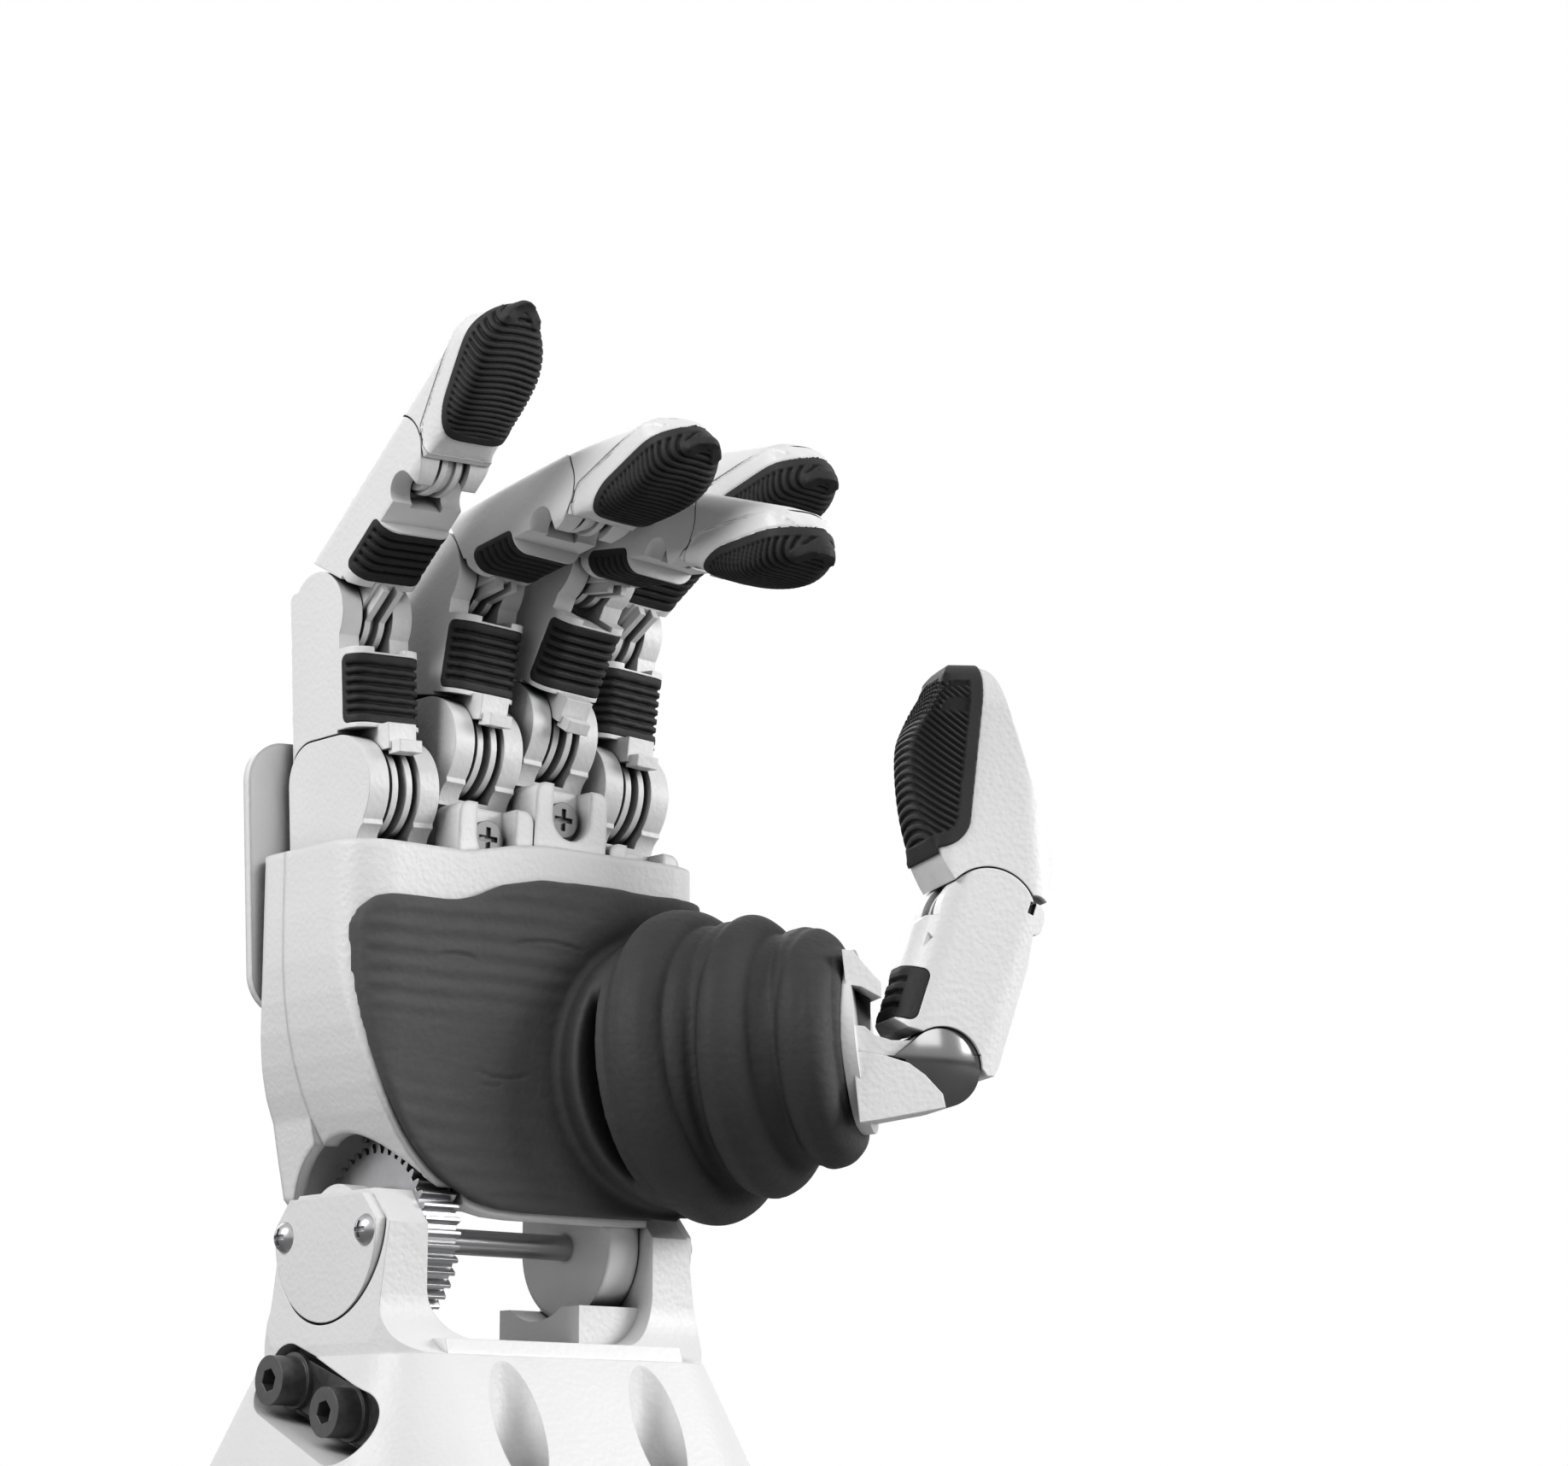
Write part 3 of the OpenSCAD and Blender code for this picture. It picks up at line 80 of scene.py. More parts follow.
mm = 0.001  # the scene is in metres, the hand's sizes are in millimetres

# %% [markdown]
# ## Shader maths as Python
# A material is a small formula over the surface. Wiring each Math node by hand hides the formula, so a
# socket is wrapped in a class whose operators add the nodes. Colours and vectors need nodes of their own,
# because a Math node would turn them grey.

# %% A socket with operators
class Value:
    def __init__(self, finish, socket):
        self.finish = finish
        self.socket = socket

    def _math(self, operation, *inputs):
        return self.finish.add("ShaderNodeMath", {"operation": operation}, dict(enumerate(inputs)))

    def __add__(self, other):
        return self._math("ADD", self, other)

    __radd__ = __add__

    def __mul__(self, other):
        return self._math("MULTIPLY", self, other)

    __rmul__ = __mul__

    def __rsub__(self, other):
        return self._math("SUBTRACT", other, self)


print("sockets can be added, scaled and taken from a number")

# %% [markdown]
# ## One way to make every node
# A finish is one material. It holds a single method that adds a node of any type, sets its options and
# fills its inputs, and small methods on top of it for what the finishes share: grain, cells, a blend of two
# colours, the painted shade in slots and hollows, and the relief. The relief goes through a Bump node into the
# shader's normal, and a Bevel node ahead of it rounds the edges in shading only, so the exact links stay as they
# are.

# %% The finish class
class Finish:
    """One material: its nodes are added by type, with their settings first and their inputs after."""

    def __init__(self, name, colour, roughness, metallic=0.0):
        self.material = bpy.data.materials.new(name)
        self.material.use_nodes = True
        self.tree = self.material.node_tree
        self.shader = self.tree.nodes["Principled BSDF"]
        self.material.diffuse_color = (*colour, 1.0)
        self.put("Base Color", (*colour, 1.0))
        self.put("Roughness", roughness)
        self.put("Metallic", metallic)

    def put(self, name, value):
        if isinstance(value, Value):
            self.tree.links.new(value.socket, self.shader.inputs[name])
        else:
            self.shader.inputs[name].default_value = value

    def add(self, kind, settings, inputs, output=0):
        node = self.tree.nodes.new(kind)
        for name, value in settings.items():
            setattr(node, name, value)
        for name, value in inputs.items():
            if isinstance(value, Value):
                self.tree.links.new(value.socket, node.inputs[name])
            else:
                node.inputs[name].default_value = value
        return Value(self, node.outputs[output])

    def place(self):
        return self.add("ShaderNodeTexCoord", {}, {}, output="Object")

    def grain(self, scale, detail=2.0, stretch=(1, 1, 1)):
        """A noise of so many bumps to a metre."""
        placed = self.add("ShaderNodeVectorMath", {"operation": "MULTIPLY"}, {
            0: self.place(), 1: stretch})
        return self.add("ShaderNodeTexNoise", {}, {
            "Vector": placed, "Scale": scale, "Detail": detail, "Roughness": 0.5})

    def cells(self, scale):
        return self.add("ShaderNodeTexVoronoi", {"feature": "SMOOTH_F1"}, {
            "Vector": self.place(), "Scale": scale, "Smoothness": 0.6})

    def blend(self, factor, first, second):
        """A mix of two colours. A Mix node's colours are its inputs 6 and 7, and its output 2."""
        return self.add("ShaderNodeMix", {"data_type": "RGBA"}, {
            0: factor, 6: (*first, 1.0), 7: (*second, 1.0)}, output=2)

    def kept(self, name):
        """A share that was stored at each point of the mesh."""
        return self.add("ShaderNodeAttribute", {"attribute_name": name}, {}, output="Fac")

    def painted_shade(self, reach, closed=0.12, open_up=0.62):
        """1 on open faces and towards 0 in slots and hollows: painted shade, where little light reaches."""
        # Ambient occlusion: the colour that this share darkens is painted shade in slots and hollows.
        open_share = self.add("ShaderNodeAmbientOcclusion", {"samples": 8}, {
            "Distance": reach}, output="AO")
        return self.add("ShaderNodeMapRange", {"interpolation_type": "SMOOTHSTEP"}, {
            "Value": open_share, "From Min": closed, "From Max": open_up})

    def domed(self, centre, radius, height):
        """The face's normal, leant outwards from a centre, as on a shallow dome."""
        away = self.add("ShaderNodeVectorMath", {"operation": "SUBTRACT"}, {
            0: self.place(), 1: centre})
        lean = self.add("ShaderNodeVectorMath", {"operation": "SCALE"}, {
            0: away, "Scale": height / radius})
        face = self.add("ShaderNodeNewGeometry", {}, {}, output="Normal")
        both = self.add("ShaderNodeVectorMath", {"operation": "ADD"}, {0: face, 1: lean})
        return self.add("ShaderNodeVectorMath", {"operation": "NORMALIZE"}, {0: both})

    def rounded(self, radius):
        return self.add("ShaderNodeBevel", {"samples": 6}, {"Radius": radius})

    def raise_by(self, height, distance, strength, edge=0.0):
        """Relief on the surface, over edges that are rounded by a radius if one is given."""
        inputs = {"Height": height, "Distance": distance, "Strength": strength}
        if edge:
            inputs["Normal"] = self.rounded(edge)
        self.put("Normal", self.add("ShaderNodeBump", {}, inputs))


print("shader helpers ready")

# %% [markdown]
# ## White shells
# The links are moulded in a white plastic with a fine leather grain. Plain paint would look flat, so the
# grain is built from noises: pebbles and fine specks give the relief, the specks also vary the gloss, and a
# slow cloud varies the tone of the colour. Shade is painted into the colour too: narrow slots darken fast
# and wide hollows slowly, which parts the links from one another. The big castings have wider edge radii
# than the links.

# %% Satin white plastic
def grey(level):
    return (level, level, level)


def white_shell(edge):
    finish = Finish("satin white plastic", grey(0.80), 0.42)
    pebble = finish.cells(900.0)
    fine = finish.grain(2200.0, detail=3.0)
    cloud = finish.grain(60.0)
    # Painted shade: the colour darkens in narrow slots and in wide hollows between the links. The cloud is a
    # random tone.
    slots = finish.painted_shade(4.0 * mm)
    hollows = finish.painted_shade(18.0 * mm, closed=0.0, open_up=0.75)
    shade_and_tone = slots * (0.5 + 0.5 * hollows)
    finish.put("Base Color", finish.blend(shade_and_tone * (0.93 + 0.07 * cloud), grey(0.03), grey(0.88)))
    finish.put("Roughness", 0.36 + 0.14 * fine)
    finish.raise_by(pebble * 0.7 + fine * 0.3, 0.18 * mm, 0.6, edge=edge)
    return finish.material


finishes = {"white_shell": white_shell(edge=0.35 * mm), "wide_shell": white_shell(edge=1.8 * mm)}
print("white finishes:", ", ".join(finishes))

# %% [markdown]
# ## Rubber
# The pads and the palm skin are dark rubber. It scatters light softly, so its roughness is high and its
# mirror share low, and its grain is coarser on the skin than on the pads. A bump alone would leave the
# grooves too pale, so shade is painted into them, by the share of carving that each point of the mesh
# remembers. The folds of the bellows are painted darker than the palm in the same way, and the skin's
# valleys take painted shade where little light reaches them.

# %% Pad rubber and skin rubber
def pad_rubber():
    finish = Finish("pad rubber", grey(0.02), 0.62)
    finish.put("Specular IOR Level", 0.22)
    fine = finish.grain(1800.0, detail=3.0)
    cloud = finish.grain(140.0)
    # Painted shade in the grooves and the seam, read from the carved share. The cloud is a random tone of the
    # rubber.
    shade_and_tone = (1 - finish.kept("carved")) * (0.55 + 0.45 * cloud)
    finish.put("Base Color", finish.blend(shade_and_tone, grey(0.0015), (0.030, 0.030, 0.031)))
    finish.put("Roughness", 0.52 + 0.2 * fine)
    finish.raise_by(fine, 0.08 * mm, 0.6)
    return finish.material


def skin_rubber():
    finish = Finish("skin rubber", (0.045, 0.045, 0.046), 0.66)
    finish.put("Specular IOR Level", 0.25)
    pebble = finish.cells(650.0)
    fine = finish.grain(1500.0, detail=3.0)
    creases = finish.grain(190.0, detail=3.0, stretch=(1, 1, 3.2))
    # Painted shade: the skin darkens in its valleys and over the bellows' folds. The stretched creases noise is a
    # random tone of the rubber.
    valleys = finish.painted_shade(14.0 * mm, closed=0.3, open_up=0.9)
    shade_and_tone = valleys * (0.72 + 0.28 * creases) * (1 - 0.5 * finish.kept("folded"))
    finish.put("Base Color", finish.blend(shade_and_tone, grey(0.003), (0.088, 0.088, 0.089)))
    finish.put("Roughness", 0.56 + 0.2 * fine)
    finish.raise_by(pebble * 0.55 + fine * 0.25 + creases * 0.5, 0.22 * mm, 0.7)
    return finish.material


finishes["pad_rubber"] = pad_rubber()
finishes["skin_rubber"] = skin_rubber()
print("rubbers made:", finishes["pad_rubber"].name, "and", finishes["skin_rubber"].name)

# %% [markdown]
# ## Metals and black chrome
# The gear and the shaft are bare steel with fine turning marks. The knuckles' pivot screws are burnt dark
# and the clamping screws of the base are oxidised black, so one function makes both. The round cap on the
# thumb's first knuckle is plated in black chrome. It is flat in the model, so its normals lean outwards,
# and it mirrors the studio as a shallow dome does.

# %% Steel, black oxide and black chrome
def bare_steel():
    finish = Finish("bare steel", (0.62, 0.62, 0.63), 0.3, metallic=1.0)
    brushed = finish.grain(300.0, detail=3.0, stretch=(0.05, 1, 1))
    finish.put("Base Color", finish.blend(brushed, (0.30, 0.30, 0.31), (0.50, 0.50, 0.51)))
    finish.put("Roughness", 0.2 + 0.22 * brushed)
    finish.raise_by(brushed, 0.05 * mm, 0.35, edge=0.2 * mm)
    return finish.material


def dark_steel(name, colour, roughness, metallic, scale, dark, pale, gloss):
    """Blackened steel, blotched from a dark to a paler tint."""
    finish = Finish(name, colour, roughness, metallic)
    blotches = finish.grain(scale, detail=3.0)
    finish.put("Base Color", finish.blend(blotches, dark, pale))
    finish.put("Roughness", gloss + 0.2 * blotches)
    finish.raise_by(blotches, 0.04 * mm, 0.4, edge=0.25 * mm)
    return finish.material


def gloss_black():
    finish = Finish("black chrome", grey(0.2), 0.12, metallic=1.0)
    low, high = (Vector(corner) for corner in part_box("thumb_joint_cap"))
    finish.put("Normal", finish.domed((low + high) / 2, radius=9.0 * mm, height=0.7))
    smear = finish.grain(80.0)
    finish.put("Base Color", finish.blend(smear, (0.15, 0.15, 0.152), (0.25, 0.25, 0.253)))
    finish.put("Roughness", 0.1 + 0.12 * smear)
    return finish.material


finishes["bare_steel"] = bare_steel()
finishes["burnt_steel"] = dark_steel(
    "burnt steel", grey(0.12), 0.4, 1.0, 700.0, (0.08, 0.08, 0.082), (0.17, 0.17, 0.172), gloss=0.34)
finishes["black_steel"] = dark_steel(
    "black oxide steel", (0.06, 0.06, 0.064), 0.42, 0.6, 900.0,
    (0.07, 0.07, 0.072), (0.13, 0.13, 0.133), gloss=0.32)
finishes["gloss_black"] = gloss_black()
print("finishes:", ", ".join(finishes))

# %% [markdown]
# ## Finishing the links
# Each link keeps its exact shape and takes the finish that the model's record names for it. A moulded edge
# is never razor sharp. A Bevel modifier could round it, but it would have to work its way through hundreds
# of tiny faces, so the finishes round the edges in their shading instead, with a Bevel node.

# %% Finishes on the links
slot_of = {part["node"]: part["material_slot"] for part in frame["record"]["subparts"]}
own_finish = {"abduction_pins": "burnt_steel", "adjuster_rail": "burnt_steel",
              "palm_frame": "wide_shell", "dorsal_cover": "wide_shell"}
for name, link in nodes.items():
    link.data.materials.clear()
    link.data.materials.append(finishes[own_finish.get(name, slot_of[name])])
print("finished", len(slot_of), "links")

# %% [markdown]
# ## Where each link lies
# The ribs of a pad run across its link, so the maths is done in the link's own axes. The joints tell
# where those axes are: X is the hinge, and the joint's lower limit tells how far the link is bent now.

# %% Frames of the links
FINGERS = ("little", "ring", "middle", "index")
THUMB_END_BEND = 21.4  # how far the thumb's tip link is bent now, in degrees


def turn_about(axis, degrees):
    return Matrix.Rotation(math.radians(degrees), 3, Vector(axis))


def link_axes(finger):
    """The axes of a finger's three links as 3x3 matrices, with the point where each is hinged."""
    spread = Vector(joints[finger + "_spread"]["axis"])
    hinge = Vector(joints[finger + "_mcp"]["axis"])
    axes = Matrix((hinge, spread, hinge.cross(spread))).transposed()
    result = {}
    for link, joint in (("proximal", "_mcp"), ("middle", "_pip"), ("distal", "_dip")):
        axes = turn_about(hinge, -joints[finger + joint]["range_deg"][0]) @ axes
        result[link] = (axes, Vector(joints[finger + joint]["pos_m"]))
    return result


def thumb_axes():
    hinge = -Vector(joints["thumb_mcp"]["axis"])
    low = Vector(joints["thumb_mcp"]["pos_m"])
    high = Vector(joints["thumb_ip"]["pos_m"])
    up = (high - low).normalized()
    first = Matrix((hinge, up.cross(hinge), up)).transposed()
    return {"proximal": (first, low), "distal": (turn_about(hinge, THUMB_END_BEND) @ first, high)}


axes_of = {finger: link_axes(finger) for finger in FINGERS}
axes_of["thumb"] = thumb_axes()
print("link axes for", ", ".join(axes_of))

# %% [markdown]
# ## Ribbed pads
# Each pad is one rubber moulding with a plain rim and raised ribs. Painting the ribs would fail at the
# pad's outline, where their ends stand out, so the moulding is cut for real: the plain pad is remeshed
# finely, and the points in the grooves sink along their normals.

# %% A fine, even mesh
def remeshed(name, source, voxel):
    """A fine, even mesh of a node's shape, as a new object."""
    piece = bpy.data.objects.new(name, source.data.copy())
    bpy.context.scene.collection.objects.link(piece)
    remesh = piece.modifiers.new("even mesh", "REMESH")
    remesh.mode = "VOXEL"
    remesh.voxel_size = voxel
    return with_modifiers_applied(piece)


def with_modifiers_applied(piece):
    """Puts what the modifiers make into the piece's own mesh, and shades it smooth."""
    graph = bpy.context.evaluated_depsgraph_get()
    mesh = bpy.data.meshes.new_from_object(piece.evaluated_get(graph))
    piece.modifiers.clear()
    piece.vertex_groups.clear()
    piece.data = mesh
    mesh.shade_smooth()
    return piece


PAD_VOXEL = 0.24 * mm
SKIN_VOXEL = 0.42 * mm
print("pads get a point every", PAD_VOXEL / mm, "mm, and the skin every", SKIN_VOXEL / mm, "mm")

# %% [markdown]
# ## Meshes as arrays
# A pad has tens of thousands of points. A Python loop over them would be slow, so the points, the normals
# and the faces' centres are read into arrays, all of them are moved by one formula, and they go back in
# one step. The formulas use a link's own axes and millimetres.

# %% Reading and moving points
def table_of(items, field):
    flat = np.empty(len(items) * 3)
    items.foreach_get(field, flat)
    return flat.reshape(-1, 3)


def points_of(mesh):
    return table_of(mesh.vertices, "co")


def normals_of(mesh):
    return table_of(mesh.vertex_normals, "vector")


def centres_of(mesh):
    return table_of(mesh.polygons, "center")


def move_points(mesh, points):
    mesh.vertices.foreach_set("co", points.ravel())
    mesh.update()


def in_link(points, axes, origin):
    """Points in a link's own axes, in millimetres."""
    return (points - np.array(origin)) @ np.array(axes) / mm


def smooth_step(low, high, x):
    t = np.clip((x - low) / (high - low), 0.0, 1.0)
    return t * t * (3 - 2 * t)


def remember(piece, name, share):
    """Keeps a share from 0 to 1 at each point, as an attribute that the rubber's colour reads."""
    layer = piece.data.attributes.new(name, "FLOAT", "POINT")
    layer.data.foreach_set("value", np.clip(share, 0, 1))


print("half a step up is", smooth_step(0.0, 1.0, 0.5))

# %% [markdown]
# ## Soft corners
# A moulding's corners are soft, but the edge where it meets its link stays where it is. Smoothing every
# point alike would pull that edge away, so each point has a weight, and a Smooth modifier reads the
# weights from a vertex group. The distance to the edge is measured with a tree of the hidden points.

# %% Smoothing by weight
WEIGHT_STEPS = 16


def weigh(piece, weights):
    """Keeps a weight from 0 to 1 at each point. The weights stay in the mesh when it is smoothed."""
    group = piece.vertex_groups.new(name="soft")
    steps = np.round(weights * WEIGHT_STEPS).astype(int)
    for step in range(1, WEIGHT_STEPS + 1):
        group.add(np.flatnonzero(steps == step).tolist(), step / WEIGHT_STEPS, "REPLACE")


def round_over(piece, rounds):
    """Smooths a fine mesh where its weights are high, so that its corners turn into soft curves."""
    relax = piece.modifiers.new("round over", "SMOOTH")
    relax.factor = 0.5
    relax.iterations = rounds
    relax.vertex_group = "soft"
    with_modifiers_applied(piece)


def rim_distance(points, hidden):
    """How far each point lies from the nearest hidden one, which is how far it is from the pad's edge."""
    chosen = np.flatnonzero(hidden)
    tree = KDTree(len(chosen))
    for index in chosen:
        tree.insert(points[index], index)
    tree.balance()
    return np.array([tree.find(point)[2] for point in points]) / mm


print("weights have", WEIGHT_STEPS, "steps")

# %% [markdown]
# ## Cutting a moulding
# A piece that spans two finishes or two bodies is cut along its faces. Cut edges would show as a seam,
# because each half would get new normals there, so every half keeps the normals of the whole. A finished
# piece names its finish and the body that it rides on.

# %% Cutting and riding
def part_of(piece, name, keep):
    """A new piece with the kept faces, and with the whole mesh's normals."""
    normals = normals_of(piece.data)
    part = bpy.data.objects.new(name, piece.data.copy())
    bpy.context.scene.collection.objects.link(part)
    work = bmesh.new()
    work.from_mesh(part.data)
    work.faces.ensure_lookup_table()
    old = work.verts.layers.int.new("old")
    for vertex in work.verts:
        vertex[old] = vertex.index
    bmesh.ops.delete(work, geom=[face for face in work.faces if not keep[face.index]], context="FACES")
    kept = [vertex[old] for vertex in work.verts]
    work.verts.layers.int.remove(old)
    work.to_mesh(part.data)
    work.free()
    part.data.normals_split_custom_set_from_vertices(normals[kept].tolist())
    return part


def finish_piece(piece, slot, body):
    piece.data.materials.clear()
    piece.data.materials.append(finishes[slot])
    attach(piece, body)


def dress_pad(piece, node, body):
    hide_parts(node)
    finish_piece(piece, "pad_rubber", body)


print("pieces can be cut and dressed")

# %% [markdown]
# ## The blank of a pad
# A pad lies against its link at the top, the bottom and the back. Those faces stay put, and only the outer
# faces are carved. The blank is the pad's own shape in fine mesh, rounded more the farther a point is from
# the edge.

# %% Blanks
BACK_BAND = 2.4  # how deep the pad's back faces reach in from its sides, in millimetres
EDGE_BAND = (0.3, 2.4)  # from the edge, in millimetres: where rounding starts and where it is full


def edges_of(local, out):
    """The faces that lie against the link at the top, bottom and back, and the share of outer face."""
    side = np.abs(local[:, 0])
    ends = np.abs(out[:, 2]) > 0.75
    back = (out[:, 1] > 0.6) & (side > side.max() - BACK_BAND)
    outward = np.maximum(-out[:, 1], out[:, 0] * np.sign(local[:, 0]))
    return ends | back, smooth_step(0.15, 0.4, outward)


def rib_blank(node, finger, link, rounds):
    """A pad's own shape with soft corners, with its points and normals in the scene and in its link."""
    piece = remeshed(node + "_ribs", nodes[node], PAD_VOXEL)
    axes, origin = axes_of[finger][link]
    points, normals = points_of(piece.data), normals_of(piece.data)
    hidden, _ = edges_of(in_link(points, axes, origin), normals @ np.array(axes))
    edge = rim_distance(points, hidden)
    weigh(piece, smooth_step(*EDGE_BAND, edge))
    round_over(piece, rounds)
    points, normals = points_of(piece.data), normals_of(piece.data)
    return piece, points, normals, in_link(points, axes, origin), normals @ np.array(axes), edge


def inside_rim(distance, rim):
    """0 on the plain rim and 1 within it, with a steep wall between."""
    return smooth_step(rim - 0.15, rim + 0.2, distance)


def groove_wave(turns, wall):
    """1 in each groove and 0 on each rib. The wall is where the wave starts to sink and where it has."""
    return smooth_step(*wall, 0.5 - 0.5 * np.cos(2 * math.pi * turns))


print("a pad is rounded from", *EDGE_BAND, "mm of its edge")

# %% [markdown]
# ## Pads with straight ribs
# The pads of the first and the middle links have a few wide ribs straight across. The grooves are spread
# evenly between the rims, so each pad begins and ends with a rib, whatever its length is.

# %% Straight ribs
def rib_pad(finger, link, groove_count, rim=1.25, face_sink=0.1, groove_depth=0.7):
    node = f"{finger}_{link}_pad"
    piece, points, normals, local, out, edge = rib_blank(node, finger, link, rounds=30)
    low, high = local[:, 2].min() + rim, local[:, 2].max() - rim
    grooves = groove_wave(groove_count * (local[:, 2] - low) / (high - low), wall=(0.45, 0.8))
    inside = inside_rim(edge, rim) * edges_of(local, out)[1]
    sink = inside * (face_sink + groove_depth * grooves)
    move_points(piece.data, points - normals * (sink * mm)[:, None])
    # The rubber's colour reads this share and paints shade into the grooves.
    remember(piece, "carved", inside * grooves)
    dress_pad(piece, node, f"{finger}_{link}")


for finger in FINGERS:
    rib_pad(finger, "proximal", groove_count=6)
    rib_pad(finger, "middle", groove_count=5)
rib_pad("thumb", "proximal", groove_count=3)
print("straight-ribbed pads made:", 2 * len(FINGERS) + 1)

# %% [markdown]
# ## The leaf on a fingertip
# A fingertip's pad is shaped like a leaf: it has a straight foot, a back edge that leans, a round corner
# between them, and a point at the tip. The leaf could be a curve that cuts the pad, but a formula for the
# distance inside it does more: it places the rim, the ribs and the seam to the white shell alike.

# %% The leaf's shape
def leaf_inset(local, foot, back, lean, corner):
    """How far inside the leaf a point lies: over its foot, in front of its leaning back, round its corner."""
    above = local[:, 2] - foot
    slope = math.radians(lean)
    before = (back - local[:, 1]) * math.cos(slope) + above * math.sin(slope)
    near = (above < corner) & (before < corner)
    bend = corner - np.hypot(corner - above, corner - before)
    return np.where(near, bend, np.minimum(above, before))


finger_leaf = {"foot": 9.0, "back": -5.2, "lean": 21, "corner": 9.0}
thumb_leaf = {"foot": 10.6, "back": -2.9, "lean": 9.5, "corner": 9.0}
print("a finger's leaf leans", finger_leaf["lean"], "degrees, the thumb's", thumb_leaf["lean"])

# %% [markdown]
# ## Pads with fine ribs
# On a finger the fine ribs run straight across. On the thumb they climb towards the front, and near the
# tip a second set crosses them and leaves small studs. On a finger what lies outside the leaf is cut off as
# a filler and joins the white shell. The thumb's leaf takes its whole pad, so it has no filler.

# %% Fine ribs
LEAF_SINK, GROOVE_DEPTH = 0.12, 0.5  # millimetres below the plain rim
SHELL_SINK, BACK_SWELL = 0.42, 0.3  # how the filler is set below the leaf, and out at its back
SEAM_DEPTH, SEAM_WIDTH = 0.35, 0.22
RIB_BOW = 0.02  # how fast the ribs rise towards the sides, per square millimetre
NO_STUDS = 2.0


def tip_pad(finger, pitch, leaf, climb=(0.0, 0.0), studs_above=NO_STUDS, rim=2.1):
    """A tip's pad. The climb goes from the foot to the tip, and studs start at a share of the height."""
    node, body = f"{finger}_tip_pad", f"{finger}_distal"
    piece, points, normals, local, out, edge = rib_blank(node, finger, "distal", rounds=600)
    across, depth, height = local.T
    level = (height - height.min()) / (height.max() - height.min())
    bowed = height + (climb[0] + (climb[1] - climb[0]) * level) * depth + RIB_BOW * across ** 2
    steep = (0.4, 0.85)
    studs = groove_wave((across + 0.5 * pitch) / pitch, steep)
    studs = studs * smooth_step(studs_above, studs_above + 0.04, level)
    grooves = np.maximum(groove_wave(bowed / pitch, steep), studs)

    inset = leaf_inset(local, **leaf)
    ribbed = inside_rim(np.minimum(inset, edge), rim)
    carved = ribbed * smooth_step(0.98, 0.9, out[:, 2]) * grooves
    seam = np.exp(-(inset / SEAM_WIDTH) ** 2)
    filler = smooth_step(0.25, -0.1, inset)
    sink = LEAF_SINK * ribbed + GROOVE_DEPTH * carved + SHELL_SINK * filler + SEAM_DEPTH * seam
    swell = BACK_SWELL * filler * (out[:, 1] > 0.6)
    outer_face = edges_of(local, out)[1]
    move_points(piece.data, points + normals * ((swell - sink * outer_face) * mm)[:, None])
    # The rubber's colour reads this share and paints shade into the grooves and the seam.
    remember(piece, "carved", np.maximum(carved, seam))

    rubber_face = leaf_inset(in_link(centres_of(piece.data), *axes_of[finger]["distal"]), **leaf) > 0
    dress_pad(part_of(piece, f"{finger}_tip_leaf", rubber_face), node, body)
    if not rubber_face.all():
        finish_piece(part_of(piece, f"{finger}_tip_shell", ~rubber_face), "white_shell", body)
    bpy.data.objects.remove(piece)


for finger in FINGERS:
    tip_pad(finger, pitch=1.25, leaf=finger_leaf)
tip_pad("thumb", pitch=1.4, leaf=thumb_leaf, climb=(0.35, 0.9), studs_above=0.7, rim=2.6)
print("fingertip pads made:", len(FINGERS) + 1)

# %% [markdown]
# ## Palm skin and bellows
# The skin of the palm and the folds at the thumb's root are one rubber moulding. They are joined, remeshed
# and smoothed, most of all where the folds rise out of the palm, so that each valley becomes a soft curve.
# Two measures steer that: how far a point lies along the thumb's yoke, and how far from its axis.

# %% One smooth moulding
swing_at = Vector(joints["thumb_swing"]["pos_m"])
lift_at = Vector(joints["thumb_lift"]["pos_m"])
yoke_way = (lift_at - swing_at).normalized()


def along_yoke(points):
    return (points - np.array(swing_at)) @ np.array(yoke_way) / mm


def from_axis(points):
    offset = points - np.array(swing_at)
    along = offset @ np.array(yoke_way)
    return np.linalg.norm(offset - along[:, None] * np.array(yoke_way), axis=1) / mm


def joined(name, *sources):
    """One mesh object with the shapes of several nodes."""
    copies = []
    for source in sources:
        copy = bpy.data.objects.new(name, source.data.copy())
        bpy.context.scene.collection.objects.link(copy)
        copies.append(copy)
    with bpy.context.temp_override(active_object=copies[0], selected_editable_objects=copies):
        bpy.ops.object.join()
    return copies[0]


def from_rim(points, normals):
    """How far each point lies from the skin's side walls, whose normals hardly point out of the palm."""
    return rim_distance(points, np.abs(normals[:, 1]) < 0.2)


def moulding():
    raw = joined("moulding", nodes["palm_skin"], nodes["thumb_bellows"])
    piece = remeshed("rubber moulding", raw, SKIN_VOXEL)
    bpy.data.objects.remove(raw)
    points = points_of(piece.data)
    near_folds = smooth_step(46, 36, from_axis(points)) * smooth_step(-16, -10, along_yoke(points))
    brim = smooth_step(1.8, 0.9, from_rim(points, normals_of(piece.data)))
    weigh(piece, np.maximum(near_folds, 0.15 + 0.8 * brim))
    round_over(piece, rounds=24)
    return piece


rubber = moulding()
print("moulding made of", len(rubber.data.vertices), "points")

# %% [markdown]
# ## Slack in the folds
# Rubber bellows are never perfect rings. Each fold bulges where it is slack, more in some places than in
# others. The rings' own radius along the yoke tells where a fold is and where a valley is, so the folds
# swell and the valleys sink, and a slow noise makes both uneven.

